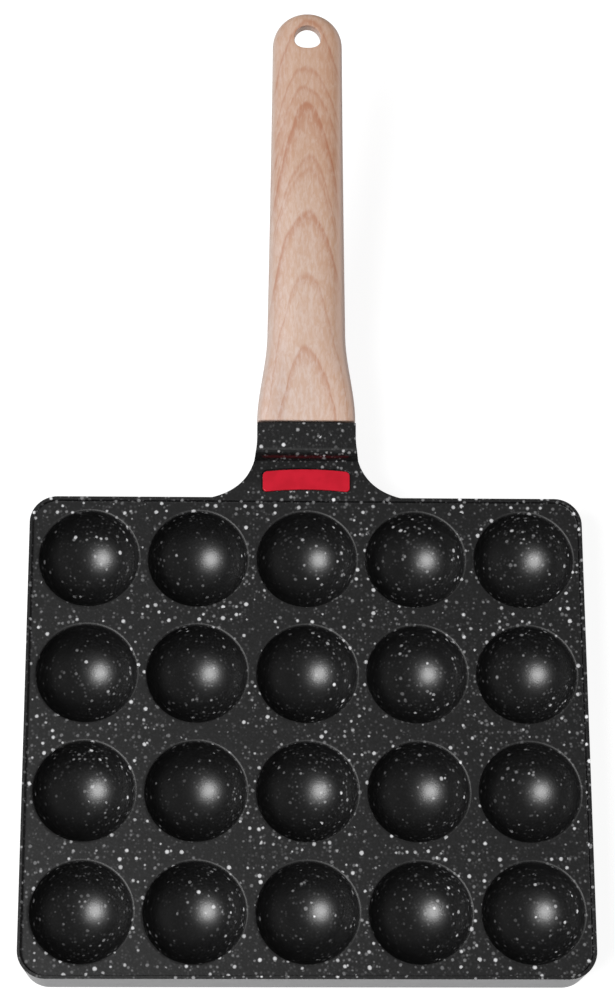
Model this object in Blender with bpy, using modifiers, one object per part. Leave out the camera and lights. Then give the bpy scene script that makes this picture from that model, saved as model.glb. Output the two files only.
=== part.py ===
"""A stove-top pan for round dumplings: one casting with cups, a screwed-on grip and a badge.

Metres, +Z up, +Y from the plate towards the handle. The origin is on the surface that the
pan stands on, at the middle of its whole footprint.
"""

import math

import bmesh
import bpy
from mathutils import Matrix, Vector
from mathutils.geometry import interpolate_bezier

# Plate, rim and skirt
PLATE_WIDTH = 0.2220
PLATE_DEPTH = 0.1940
PLATE_CORNER_RADIUS = 0.0110
PLATE_THICKNESS = 0.0030
SKIRT_WALL = 0.0026
SKIRT_DRAFT = 0.0005
RIM_WIDTH = 0.0017
RIM_HEIGHT = 0.0010

# Cups, as many as the plate has room for at their pitch
CUP_PITCH_ACROSS = 0.0435
CUP_PITCH_ALONG = 0.0475
CUP_BORDER_LEAST = 0.0008
CUP_RADIUS = 0.0198
CUP_LIP_RADIUS = 0.0008
CUP_WALL = 0.0032
CUP_FLOOR = 0.0024
CUP_SIDES = 20
CUP_ARC_STEPS = 5
DOME_ARC_STEPS = 4

# Neck and boss
NECK_WIDTH = 0.0398
NECK_FLARE_REACH = 0.0180
NECK_FLARE_LENGTH = 0.0250
NECK_FLAT_LENGTH = 0.0160
NECK_RISE = 0.0050
NECK_RISE_RUN = 0.0029
NECK_FOOT_HEIGHT = 0.0050
NECK_ROUNDING = 0.0006
NECK_POCKET_WALL = 0.0035
NECK_POCKET_ROOF = 0.0040
NECK_POCKET_CORNER_RADIUS = 0.0030
BOSS_LENGTH = 0.0116
BOSS_END_WALL = 0.0080

# Badge
BADGE_WIDTH = 0.0352
BADGE_DEPTH = 0.0087
BADGE_ARCH = 0.0011
BADGE_CORNER_RADIUS = 0.0020
BADGE_THICKNESS = 0.0009
BADGE_PROUD = 0.0002
BADGE_CLEARANCE = 0.0003
BADGE_SETBACK = 0.0069
BADGE_EDGE_STEPS = 4

# Grip
GRIP_LENGTH = 0.1694
GRIP_INCLINE = math.radians(14.0)
GRIP_ROOT_WIDTH = 0.0407
GRIP_ROOT_THICKNESS = 0.0210
GRIP_ROOT_SQUARENESS = 6.0
GRIP_WAIST_WIDTH = 0.0321
GRIP_WAIST_THICKNESS = 0.0180
GRIP_TIP_WIDTH = 0.0288
GRIP_TIP_THICKNESS = 0.0095
GRIP_SQUARENESS = 2.8
GRIP_FLARE_LENGTH = 0.0365
GRIP_JOINT_GAP = 0.0003
GRIP_SIDES = 28
GRIP_FLARE_RINGS = 6
GRIP_BODY_RINGS = 5
GRIP_NOSE_RINGS = 6

# Hang hole
HOLE_WIDTH = 0.0114
HOLE_FAR_REACH = 0.0058
HOLE_NEAR_REACH = 0.0037
HOLE_ROUNDING = 0.0010
HOLE_SETBACK = 0.0107
HOLE_SIDES = 24
HOLE_ROUNDING_STEPS = 3

# Tang, and the clearances of its socket in the grip
TANG_WIDTH = 0.0260
TANG_THICKNESS = 0.0080
TANG_LENGTH = 0.0320
TANG_LIFT = 0.0018
TANG_ROUNDING = 0.0015
SOCKET_CLEARANCE = 0.0003
SOCKET_END_CLEARANCE = 0.0008

# Screw and washers
SCREW_SETBACK = 0.0160
SCREW_DIAMETER = 0.0040
SCREW_LENGTH = 0.0120
SCREW_POINT = 0.0005
SCREW_HEAD_DIAMETER = 0.0080
SCREW_HEAD_HEIGHT = 0.0030
SCREW_RECESS_WIDTH = 0.0010
SCREW_RECESS_SPAN = 0.0044
SCREW_RECESS_DEPTH = 0.0018
SCREW_SEAT_WALL = 0.0020
SCREW_HOLE_CLEARANCE = 0.0003
PLAIN_WASHER_DIAMETER = 0.0090
PLAIN_WASHER_THICKNESS = 0.0008
LOCK_WASHER_DIAMETER = 0.0076
LOCK_WASHER_THICKNESS = 0.0009
LOCK_WASHER_SLIT = 0.0007
STACK_GAP = 0.0002
COUNTERBORE_CLEARANCE = 0.0008
SCREW_SIDES = 24

# Cutters run this far past the faces that they cut
CUT_OVERRUN = 0.0020
MERGE_DISTANCE = 0.00001

# Heights above the surface that the pan stands on
cup_centre_height = CUP_FLOOR + CUP_RADIUS
plate_top = cup_centre_height + CUP_LIP_RADIUS
rim_top = plate_top + RIM_HEIGHT
dome_radius = CUP_RADIUS + CUP_WALL
mouth_radius = CUP_RADIUS + CUP_LIP_RADIUS
cup_border = RIM_WIDTH + CUP_BORDER_LEAST + mouth_radius
cup_columns = 1 + math.floor((PLATE_WIDTH - 2 * cup_border) / CUP_PITCH_ACROSS)
cup_rows = 1 + math.floor((PLATE_DEPTH - 2 * cup_border) / CUP_PITCH_ALONG)

# The neck's stations, in the pan's own frame, where the plate's middle is at zero
plate_edge = PLATE_DEPTH / 2
riser_start = plate_edge + NECK_FLAT_LENGTH
riser_end = riser_start + NECK_RISE_RUN
grip_along = Vector((0, math.cos(GRIP_INCLINE), math.sin(GRIP_INCLINE)))
grip_down = Vector((0, math.sin(GRIP_INCLINE), -math.cos(GRIP_INCLINE)))
boss_top_start = Vector((0, riser_end, rim_top + NECK_RISE))
root_top = boss_top_start + grip_along * BOSS_LENGTH
root_centre = root_top + grip_down * GRIP_ROOT_THICKNESS / 2
root_bottom = root_top + grip_down * GRIP_ROOT_THICKNESS
neck_spare_length = NECK_ROUNDING + CUT_OVERRUN
neck_inner = plate_edge - RIM_WIDTH - NECK_ROUNDING

# The screw's stack, read downwards in the grip's own frame, where its axis is at zero
tang_underside = TANG_LIFT - TANG_THICKNESS / 2
socket_floor = tang_underside - SOCKET_CLEARANCE
screw_seat = socket_floor - SCREW_SEAT_WALL
plain_washer_top = screw_seat - STACK_GAP
lock_washer_top = plain_washer_top - PLAIN_WASHER_THICKNESS - STACK_GAP
screw_bearing = lock_washer_top - LOCK_WASHER_THICKNESS - STACK_GAP
screw_way_radius = SCREW_DIAMETER / 2 + SCREW_HOLE_CLEARANCE


def clear_scene():
    for item in list(bpy.data.objects):
        bpy.data.objects.remove(item, do_unlink=True)


def make_collection(name, parent, hidden=False):
    collection = bpy.data.collections.new(name)
    parent.children.link(collection)
    collection.hide_render = hidden
    return collection


def make_empty(name, collection, parent=None, location=(0, 0, 0), turn=0.0):
    empty = bpy.data.objects.new(name, None)
    collection.objects.link(empty)
    empty.parent = parent
    empty.location = location
    empty.rotation_euler = (turn, 0, 0)
    return empty


clear_scene()
parts = make_collection("takoyaki_maker", bpy.context.scene.collection)
cutters = make_collection("cutters", bpy.context.scene.collection, hidden=True)
pan = make_empty("pan", parts)
grip_root = make_empty("grip_root", parts, pan, root_centre, GRIP_INCLINE)


def make_material(name, colour, roughness, metallic):
    material = bpy.data.materials.new(name)
    material.use_nodes = True
    shader = material.node_tree.nodes["Principled BSDF"]
    shader.inputs["Base Color"].default_value = (*colour, 1.0)
    shader.inputs["Roughness"].default_value = roughness
    shader.inputs["Metallic"].default_value = metallic
    return material


def add_part(name, mesh, parent, material, location=(0, 0, 0)):
    part = bpy.data.objects.new(name, mesh)
    parts.objects.link(part)
    part.parent = parent
    part.location = location
    mesh.materials.append(material)
    mesh.shade_smooth()
    mesh.set_sharp_from_angle(angle=math.radians(35))
    return part


def add_cutter(name, mesh, parent, location=(0, 0, 0), collection=None):
    cutter = bpy.data.objects.new(name, mesh)
    (collection or cutters).objects.link(cutter)
    cutter.parent = parent
    cutter.location = location
    cutter.hide_render = True
    cutter.display_type = "WIRE"
    return cutter


def combine(part, other, operation="DIFFERENCE"):
    """A Boolean of the part with another object, or with all the objects of a collection."""
    modifier = part.modifiers.new(other.name, "BOOLEAN")
    modifier.operation = operation
    modifier.solver = "EXACT"
    if isinstance(other, bpy.types.Collection):
        modifier.operand_type = "COLLECTION"
        modifier.collection = other
    else:
        modifier.object = other


def round_edges(part, width, segments):
    modifier = part.modifiers.new("rounded edges", "BEVEL")
    modifier.width = width
    modifier.segments = segments
    modifier.limit_method = "ANGLE"
    modifier.angle_limit = math.radians(40)


def spin(item, sides):
    modifier = item.modifiers.new("turned", "SCREW")
    modifier.axis = "Z"
    modifier.angle = math.tau
    modifier.steps = sides
    modifier.render_steps = sides
    modifier.use_merge_vertices = True
    modifier.merge_threshold = MERGE_DISTANCE


def mesh_from(name, shape):
    mesh = bpy.data.meshes.new(name)
    shape.to_mesh(mesh)
    shape.free()
    return mesh


def turned_profile(name, points, closed=False):
    """A profile of (radius, height) points that runs down its outer side."""
    shape = bmesh.new()
    corners = [shape.verts.new((radius, 0, height)) for radius, height in points]
    for first, second in zip(corners, corners[1:]):
        shape.edges.new((first, second))
    if closed:
        shape.edges.new((corners[-1], corners[0]))
    return mesh_from(name, shape)


def cylinder_profile(name, radius, low, high):
    return turned_profile(name, [(0, high), (radius, high), (radius, low), (0, low)])


def ring_profile(name, outer_radius, inner_radius, top, thickness):
    low = top - thickness
    points = [(inner_radius, top), (outer_radius, top), (outer_radius, low), (inner_radius, low)]
    return turned_profile(name, points, closed=True)


def mix(first, second, share):
    return first + (second - first) * share


def arc(centre, radius, start, end, steps):
    """Points of a circular arc, with its angles in degrees from the first axis."""
    angles = [math.radians(start + (end - start) * step / steps) for step in range(steps + 1)]
    return [(centre[0] + radius * math.cos(a), centre[1] + radius * math.sin(a)) for a in angles]


def block(name, width, length, height, centre=(0, 0, 0)):
    shape = bmesh.new()
    bmesh.ops.create_cube(shape, size=1)
    bmesh.ops.scale(shape, vec=(width, length, height), verts=shape.verts)
    bmesh.ops.translate(shape, vec=centre, verts=shape.verts)
    return mesh_from(name, shape)


def rounded_block(name, width, length, corner_radius, low, high, draft=0.0):
    """An upright block with round corners, drawn in by the draft at its lower face."""
    shape = bmesh.new()
    bmesh.ops.create_cube(shape, size=1)
    bmesh.ops.scale(shape, vec=(width, length, high - low), verts=shape.verts)
    bmesh.ops.translate(shape, vec=(0, 0, (low + high) / 2), verts=shape.verts)
    upright = [edge for edge in shape.edges if abs(edge.verts[0].co.z - edge.verts[1].co.z) > MERGE_DISTANCE]
    bmesh.ops.bevel(
        shape, geom=upright, offset=corner_radius, offset_type="OFFSET", segments=5,
        profile=0.5, affect="EDGES", material=-1,
    )
    lower = [vert for vert in shape.verts if vert.co.z < (low + high) / 2]
    bmesh.ops.scale(shape, vec=(1 - 2 * draft / width, 1 - 2 * draft / length, 1), verts=lower)
    return mesh_from(name, shape)


def outline_solid(name, points, thickness, matrix):
    """The solid of a flat outline, half its thickness to each side, welded and put in its place."""
    curve = bpy.data.curves.new(name, "CURVE")
    curve.dimensions = "2D"
    curve.fill_mode = "BOTH"
    curve.extrude = thickness / 2
    spline = curve.splines.new("POLY")
    spline.points.add(len(points) - 1)
    for corner, (first, second) in zip(spline.points, points):
        corner.co = (first, second, 0, 1)
    spline.use_cyclic_u = True
    source = bpy.data.objects.new(name, curve)
    bpy.context.scene.collection.objects.link(source)
    graph = bpy.context.evaluated_depsgraph_get()
    filled = bpy.data.meshes.new_from_object(source.evaluated_get(graph))
    bpy.data.objects.remove(source)
    shape = bmesh.new()
    shape.from_mesh(filled)
    bmesh.ops.remove_doubles(shape, verts=shape.verts, dist=MERGE_DISTANCE)
    bmesh.ops.dissolve_limit(shape, angle_limit=math.radians(1), verts=shape.verts, edges=shape.edges)
    bmesh.ops.transform(shape, matrix=matrix, verts=shape.verts)
    bmesh.ops.recalc_face_normals(shape, faces=shape.faces)
    return mesh_from(name, shape)


def cup_places():
    for row in range(cup_rows):
        for column in range(cup_columns):
            across = (column - (cup_columns - 1) / 2) * CUP_PITCH_ACROSS
            along = (row - (cup_rows - 1) / 2) * CUP_PITCH_ALONG
            yield across, along


def cutters_at_cups(name, profile):
    """One turned cutter at each cup, gathered in a collection of their own."""
    gathered = make_collection(name, cutters, hidden=True)
    for number, (across, along) in enumerate(cup_places()):
        cutter = add_cutter(f"{name}_{number}", profile, pan, (across, along, 0), gathered)
        spin(cutter, CUP_SIDES)
    return gathered


def make_cup_hollows():
    """The hollow of each cup: a half ball below a lip that opens out to the plate."""
    above = rim_top + CUT_OVERRUN
    points = [(0, above), (mouth_radius, above), (mouth_radius, plate_top)]
    points += arc((0, cup_centre_height), CUP_RADIUS, 0, -90, CUP_ARC_STEPS)[:-1]
    points += [(0, CUP_FLOOR)]
    return cutters_at_cups("cup_hollow", turned_profile("cup_hollow", points))


def make_cup_domes():
    """The metal under each cup, down to the small flat that it stands on."""
    flat_angle = -math.degrees(math.asin(cup_centre_height / dome_radius))
    flat_radius = dome_radius * math.cos(math.radians(flat_angle))
    below = -2 * CUT_OVERRUN
    points = [(0, cup_centre_height)]
    points += arc((0, cup_centre_height), dome_radius, 0, flat_angle, DOME_ARC_STEPS)
    points += [(flat_radius, below), (0, below)]
    return cutters_at_cups("cup_dome", turned_profile("cup_dome", points))


def make_cavity():
    """The open space under the plate, inside the skirt and around the domes."""
    mesh = rounded_block(
        "cavity", PLATE_WIDTH - 2 * SKIRT_WALL, PLATE_DEPTH - 2 * SKIRT_WALL,
        PLATE_CORNER_RADIUS - SKIRT_WALL, -CUT_OVERRUN, plate_top - PLATE_THICKNESS, SKIRT_DRAFT,
    )
    cavity = add_cutter("cavity", mesh, pan)
    combine(cavity, make_cup_domes())
    return cavity


def make_recess():
    """The shallow space inside the rim. Its floor is the cooking surface."""
    mesh = rounded_block(
        "recess", PLATE_WIDTH - 2 * RIM_WIDTH, PLATE_DEPTH - 2 * RIM_WIDTH,
        PLATE_CORNER_RADIUS - RIM_WIDTH, plate_top, rim_top + CUT_OVERRUN,
    )
    return add_cutter("recess", mesh, pan)


def neck_plan_points():
    """The neck from above: parallel sides that flare out to the plate's far edge."""
    pull_out_share, pull_off_share, pull_back_share = 0.52, 0.10, 0.63
    half = NECK_WIDTH / 2
    outer = root_bottom.y + neck_spare_length
    start = Vector((half + NECK_FLARE_REACH, plate_edge))
    stop = Vector((half, plate_edge + NECK_FLARE_LENGTH))
    leave = start + Vector((-pull_out_share * NECK_FLARE_REACH, pull_off_share * NECK_FLARE_LENGTH))
    arrive = stop - Vector((0, pull_back_share * NECK_FLARE_LENGTH))
    right = [(start.x, neck_inner)]
    right += [tuple(point.to_2d()) for point in interpolate_bezier(start, leave, arrive, stop, 8)]
    right += [(half, outer)]
    return right + [(-across, along) for across, along in reversed(right)]


def neck_side_points():
    """The neck from the side: flat by the plate, a straight step up with soft ends, and the boss."""
    step_end_share = 0.2
    inner = neck_inner - CUT_OVERRUN
    spare = grip_along * neck_spare_length
    level = Vector((0, NECK_RISE_RUN * step_end_share, 0))
    step = interpolate_bezier(
        Vector((0, riser_start, rim_top)), Vector((0, riser_start, rim_top)) + level,
        boss_top_start - level, boss_top_start, 6,
    )
    under_pull = Vector((0, NECK_FLAT_LENGTH / 2, 0))
    foot = Vector((0, plate_edge - SKIRT_WALL / 2, NECK_FOOT_HEIGHT))
    belly = interpolate_bezier(
        root_bottom, root_bottom - grip_along * BOSS_LENGTH, foot + under_pull, foot, 6,
    )
    points = [Vector((0, inner, rim_top)), *step, root_top + spare, root_bottom + spare, *belly]
    points += [Vector((0, inner, NECK_FOOT_HEIGHT))]
    return [(point.y, point.z) for point in points]


def make_neck():
    upright = Matrix.Translation((0, 0, root_top.z / 2))
    plan = outline_solid("neck", neck_plan_points(), 2 * root_top.z, upright)
    # The side outline's axes become +Y and +Z, and its thickness lies along +X.
    sideways = Matrix(((0, 0, 1, 0), (1, 0, 0, 0), (0, 1, 0, 0), (0, 0, 0, 1)))
    whole_width = NECK_WIDTH + 2 * NECK_FLARE_REACH + 2 * CUT_OVERRUN
    side = outline_solid("neck_side", neck_side_points(), whole_width, sideways)
    neck = add_cutter("neck", plan, pan)
    combine(neck, add_cutter("neck_side", side, pan), "INTERSECT")
    round_edges(neck, NECK_ROUNDING, 2)
    return neck


def make_root_trimmer():
    """What lies past the face where the grip meets the boss."""
    length = 2 * neck_spare_length
    mesh = block(
        "root_trimmer", NECK_WIDTH + 2 * CUT_OVERRUN, length, GRIP_ROOT_THICKNESS + 2 * neck_spare_length,
        (0, length / 2, 0),
    )
    return add_cutter("root_trimmer", mesh, grip_root)


def make_tang():
    buried = BOSS_END_WALL / 2
    centre = (0, (TANG_LENGTH - buried) / 2, TANG_LIFT)
    mesh = block("tang", TANG_WIDTH, TANG_LENGTH + buried, TANG_THICKNESS, centre)
    tang = add_cutter("tang", mesh, grip_root)
    round_edges(tang, TANG_ROUNDING, 2)
    return tang


def make_neck_pocket():
    """The hollow under the neck that keeps the casting's walls thin."""
    near = plate_edge - SKIRT_WALL + NECK_POCKET_WALL
    far = root_top.y - BOSS_END_WALL
    mesh = rounded_block(
        "neck_pocket", NECK_WIDTH - 2 * NECK_POCKET_WALL, far - near, NECK_POCKET_CORNER_RADIUS,
        -CUT_OVERRUN, rim_top - NECK_POCKET_ROOF,
    )
    return add_cutter("neck_pocket", mesh, pan, (0, (near + far) / 2, 0))


def badge_points(grown):
    """A bar with round corners, bowed towards the grip, and grown by a clearance all round."""
    half_width = BADGE_WIDTH / 2 + grown
    corner = BADGE_CORNER_RADIUS + grown
    right = half_width - corner
    far = BADGE_DEPTH / 2 + grown - corner
    outline = []
    for turn, across, along in ((0, right, far), (90, -right, far), (180, -right, -far), (270, right, -far)):
        outline += arc((across, along), corner, turn, turn + 90, 4)
        if across * along > 0:
            edge = outline[-1][1]
            outline += [(mix(across, -across, step / BADGE_EDGE_STEPS), edge) for step in range(1, BADGE_EDGE_STEPS)]
    return [(x, y + BADGE_ARCH * (1 - (x / half_width) ** 2)) for x, y in outline]


def badge_solid(name, grown, low, high):
    place = Matrix.Translation((0, plate_edge + BADGE_SETBACK, (low + high) / 2))
    return outline_solid(name, badge_points(grown), high - low, place)


badge_top = rim_top + BADGE_PROUD
badge_bottom = badge_top - BADGE_THICKNESS


def make_badge():
    red = make_material("badge_red", (0.60, 0.02, 0.04), 0.4, 0.0)
    return add_part("badge", badge_solid("badge", 0.0, badge_bottom, badge_top), pan, red)


def make_casting():
    """Plate, rim, cups, skirt, neck, boss and tang, which are poured as one piece."""
    coating = make_material("speckled_coating", (0.03, 0.03, 0.03), 0.5, 0.0)
    mesh = rounded_block(
        "griddle_casting", PLATE_WIDTH, PLATE_DEPTH, PLATE_CORNER_RADIUS, 0.0, rim_top, SKIRT_DRAFT,
    )
    casting = add_part("griddle_casting", mesh, pan, coating)
    combine(casting, make_neck(), "UNION")
    combine(casting, make_root_trimmer())
    combine(casting, make_tang(), "UNION")
    combine(casting, make_cavity())
    combine(casting, make_recess())
    combine(casting, make_cup_hollows())
    combine(casting, make_neck_pocket())
    pocket_floor = badge_bottom - STACK_GAP
    pocket = badge_solid("badge_pocket", BADGE_CLEARANCE, pocket_floor, rim_top + CUT_OVERRUN)
    combine(casting, add_cutter("badge_pocket", pocket, pan))
    tang_top = TANG_LIFT + TANG_THICKNESS / 2
    way = cylinder_profile("tang_hole", screw_way_radius, tang_underside - CUT_OVERRUN, tang_top + CUT_OVERRUN)
    hole = add_cutter("tang_hole", way, grip_root, (0, SCREW_SETBACK, 0))
    spin(hole, SCREW_SIDES)
    combine(casting, hole)
    return casting


def grip_stations():
    """Distances along the grip: close together in the flare and round the nose."""
    nose_length = GRIP_TIP_WIDTH / 2
    nose_start = GRIP_LENGTH - nose_length
    flare = [GRIP_FLARE_LENGTH * ring / GRIP_FLARE_RINGS for ring in range(GRIP_FLARE_RINGS)]
    body_step = (nose_start - GRIP_FLARE_LENGTH) / GRIP_BODY_RINGS
    body = [GRIP_FLARE_LENGTH + body_step * ring for ring in range(GRIP_BODY_RINGS)]
    turns = [math.pi / 2 * ring / GRIP_NOSE_RINGS for ring in range(GRIP_NOSE_RINGS + 1)]
    return flare + body + [nose_start + nose_length * math.sin(turn) for turn in turns]


def grip_section(station):
    """Half the width, half the thickness and the squareness of the grip at a station."""
    if station < GRIP_FLARE_LENGTH:
        share = station / GRIP_FLARE_LENGTH
        share = share * share * (3 - 2 * share)
        width = mix(GRIP_ROOT_WIDTH, GRIP_WAIST_WIDTH, share)
        thickness = mix(GRIP_ROOT_THICKNESS, GRIP_WAIST_THICKNESS, share)
        squareness = mix(GRIP_ROOT_SQUARENESS, GRIP_SQUARENESS, share)
    else:
        share = (station - GRIP_FLARE_LENGTH) / (GRIP_LENGTH - GRIP_FLARE_LENGTH)
        width = mix(GRIP_WAIST_WIDTH, GRIP_TIP_WIDTH, share)
        thickness = mix(GRIP_WAIST_THICKNESS, GRIP_TIP_THICKNESS, share)
        squareness = GRIP_SQUARENESS
    nose_length = GRIP_TIP_WIDTH / 2
    into_nose = min(max((station - GRIP_LENGTH + nose_length) / nose_length, 0.0), 1.0)
    width *= math.sqrt(1 - into_nose ** 2)
    thickness *= (1 - into_nose ** 6) ** (1 / 6)
    return width / 2, thickness / 2, squareness


def grip_mesh():
    """A unit tube with a ring at each station, swelled ring by ring to the grip's sections."""
    stations = grip_stations()
    shape = bmesh.new()
    bmesh.ops.create_cone(
        shape, cap_ends=True, cap_tris=False, segments=GRIP_SIDES, radius1=1, radius2=1, depth=1,
        matrix=Matrix.Rotation(math.radians(-90), 4, "X") @ Matrix.Translation((0, 0, 0.5)),
    )
    lengthwise = [edge for edge in shape.edges if abs(edge.verts[0].co.y - edge.verts[1].co.y) > 0.5]
    bmesh.ops.subdivide_edges(shape, edges=lengthwise, cuts=len(stations) - 2, use_grid_fill=True)
    for vert in shape.verts:
        station = stations[round(vert.co.y * (len(stations) - 1))]
        half_width, half_thickness, squareness = grip_section(station)
        turn = math.atan2(vert.co.z, vert.co.x)
        across = math.copysign(abs(math.cos(turn)) ** (2 / squareness), math.cos(turn))
        upward = math.copysign(abs(math.sin(turn)) ** (2 / squareness), math.sin(turn))
        vert.co = (half_width * across, station + GRIP_JOINT_GAP, half_thickness * upward)
    tip_cap = [face for face in shape.faces if len(face.verts) == GRIP_SIDES and face.calc_area() < MERGE_DISTANCE]
    bmesh.ops.delete(shape, geom=tip_cap, context="FACES_ONLY")
    bmesh.ops.remove_doubles(shape, verts=shape.verts, dist=MERGE_DISTANCE)
    bmesh.ops.recalc_face_normals(shape, faces=shape.faces)
    return mesh_from("handle_grip", shape)


def make_socket():
    """The space in the grip for the tang, open at the root."""
    length = TANG_LENGTH + SOCKET_END_CLEARANCE + CUT_OVERRUN
    width = TANG_WIDTH + 2 * SOCKET_CLEARANCE
    height = TANG_THICKNESS + 2 * SOCKET_CLEARANCE
    mesh = block("socket", width, length, height, (0, length / 2 - CUT_OVERRUN, TANG_LIFT))
    socket = add_cutter("socket", mesh, grip_root)
    round_edges(socket, TANG_ROUNDING, 2)
    return socket


def make_hang_hole():
    """An egg-shaped hole with rounded mouths: fuller towards the tip, flatter towards the plate."""
    half_thickness = grip_section(GRIP_LENGTH - HOLE_SETBACK)[1]
    levels = [(half_thickness + CUT_OVERRUN, HOLE_ROUNDING)]
    for step in range(HOLE_ROUNDING_STEPS + 1):
        turn = math.pi / 2 * step / HOLE_ROUNDING_STEPS
        levels.append((half_thickness - HOLE_ROUNDING * math.sin(turn), HOLE_ROUNDING * (1 - math.sin(turn))))
    levels += [(-height, growth) for height, growth in reversed(levels)]
    shape = bmesh.new()
    bmesh.ops.create_cone(
        shape, cap_ends=True, cap_tris=False, segments=HOLE_SIDES, radius1=1, radius2=1, depth=1,
    )
    upright = [edge for edge in shape.edges if abs(edge.verts[0].co.z - edge.verts[1].co.z) > 0.5]
    bmesh.ops.subdivide_edges(shape, edges=upright, cuts=len(levels) - 2, use_grid_fill=True)
    for vert in shape.verts:
        height, growth = levels[round((0.5 - vert.co.z) * (len(levels) - 1))]
        reach = HOLE_FAR_REACH if vert.co.y > 0 else HOLE_NEAR_REACH
        vert.co = (vert.co.x * (HOLE_WIDTH / 2 + growth), vert.co.y * (reach + growth), height)
    place = (0, GRIP_LENGTH - HOLE_SETBACK, 0)
    return add_cutter("hang_hole", mesh_from("hang_hole", shape), grip_root, place)


def make_grip():
    wood_look = make_material("wood_look_grip", (0.72, 0.52, 0.38), 0.55, 0.0)
    grip = add_part("handle_grip", grip_mesh(), grip_root, wood_look)
    combine(grip, make_socket())
    combine(grip, make_hang_hole())
    place = (0, SCREW_SETBACK, 0)
    way = cylinder_profile("screw_way", screw_way_radius, screw_seat - CUT_OVERRUN, TANG_LIFT)
    screw_way = add_cutter("screw_way", way, grip_root, place)
    spin(screw_way, SCREW_SIDES)
    combine(grip, screw_way)
    bore_radius = PLAIN_WASHER_DIAMETER / 2 + COUNTERBORE_CLEARANCE
    bore = cylinder_profile("counterbore", bore_radius, -GRIP_ROOT_THICKNESS, screw_seat)
    counterbore = add_cutter("counterbore", bore, grip_root, place)
    spin(counterbore, SCREW_SIDES)
    combine(grip, counterbore)
    return grip


def make_screw():
    """Pan-head screw, head down, with a cross recess."""
    steel = make_material("screw_steel", (0.62, 0.62, 0.62), 0.3, 1.0)
    radius = SCREW_DIAMETER / 2
    head_radius = SCREW_HEAD_DIAMETER / 2
    end = screw_bearing + SCREW_LENGTH
    crown_shares = ((1.0, 0.4), (0.9, 0.75), (0.62, 0.95), (0.0, 1.0))
    points = [(0, end), (radius - SCREW_POINT, end), (radius, end - SCREW_POINT), (radius, screw_bearing)]
    points += [(head_radius, screw_bearing)]
    points += [(head_radius * out, screw_bearing - SCREW_HEAD_HEIGHT * down) for out, down in crown_shares]
    place = (0, SCREW_SETBACK, 0)
    screw = add_part("handle_screw", turned_profile("handle_screw", points), grip_root, steel, place)
    spin(screw, SCREW_SIDES)
    height = SCREW_RECESS_DEPTH + CUT_OVERRUN
    middle = (0, 0, screw_bearing - SCREW_HEAD_HEIGHT + SCREW_RECESS_DEPTH - height / 2)
    first = block("recess_slot_across", SCREW_RECESS_SPAN, SCREW_RECESS_WIDTH, height, middle)
    second = block("recess_slot_along", SCREW_RECESS_WIDTH, SCREW_RECESS_SPAN, height, middle)
    for slot in (first, second):
        combine(screw, add_cutter(slot.name, slot, grip_root, place))
    return screw


def make_plain_washer():
    zinc = make_material("washer_zinc", (0.58, 0.59, 0.60), 0.35, 1.0)
    profile = ring_profile(
        "plain_washer", PLAIN_WASHER_DIAMETER / 2, screw_way_radius, plain_washer_top, PLAIN_WASHER_THICKNESS,
    )
    washer = add_part("plain_washer", profile, grip_root, zinc, (0, SCREW_SETBACK, 0))
    spin(washer, SCREW_SIDES)
    return washer


def make_lock_washer():
    """A spring ring, slit at one side."""
    spring_steel = make_material("spring_steel", (0.40, 0.40, 0.42), 0.35, 1.0)
    outer_radius = LOCK_WASHER_DIAMETER / 2
    place = (0, SCREW_SETBACK, 0)
    profile = ring_profile(
        "lock_washer", outer_radius, screw_way_radius, lock_washer_top, LOCK_WASHER_THICKNESS,
    )
    washer = add_part("lock_washer", profile, grip_root, spring_steel, place)
    spin(washer, SCREW_SIDES)
    length = outer_radius + CUT_OVERRUN
    centre = (length / 2, 0, lock_washer_top - LOCK_WASHER_THICKNESS / 2)
    slit = block("washer_slit", length, LOCK_WASHER_SLIT, LOCK_WASHER_THICKNESS + CUT_OVERRUN, centre)
    combine(washer, add_cutter("washer_slit", slit, grip_root, place))
    return washer


def centre_on_footprint(pieces):
    """Moves the whole pan so that the origin is under the middle of its outer box."""
    bpy.context.view_layer.update()
    graph = bpy.context.evaluated_depsgraph_get()
    alongs = []
    for piece in pieces:
        solid = piece.evaluated_get(graph)
        alongs += [(solid.matrix_world @ vert.co).y for vert in solid.data.vertices]
    pan.location.y -= (min(alongs) + max(alongs)) / 2
    bpy.context.view_layer.update()


def main():
    casting = make_casting()
    grip = make_grip()
    make_badge()
    make_screw()
    make_plain_washer()
    make_lock_washer()
    centre_on_footprint([casting, grip])


main()
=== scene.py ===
"""The looks of a stove-top pan for round dumplings: its coat, paint, badge, wood-look grip and studio.

Metres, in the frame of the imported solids. Every piece is a mesh that lies in its final place.
"""

import logging
import math
from collections.abc import Callable, Iterable
from dataclasses import dataclass
from enum import Enum, IntEnum
from typing import Any

import bmesh
import bpy
import numpy as np
from bmesh.types import BMesh, BMVert
from mathutils import Matrix, Vector
from mathutils.geometry import interpolate_bezier


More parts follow.
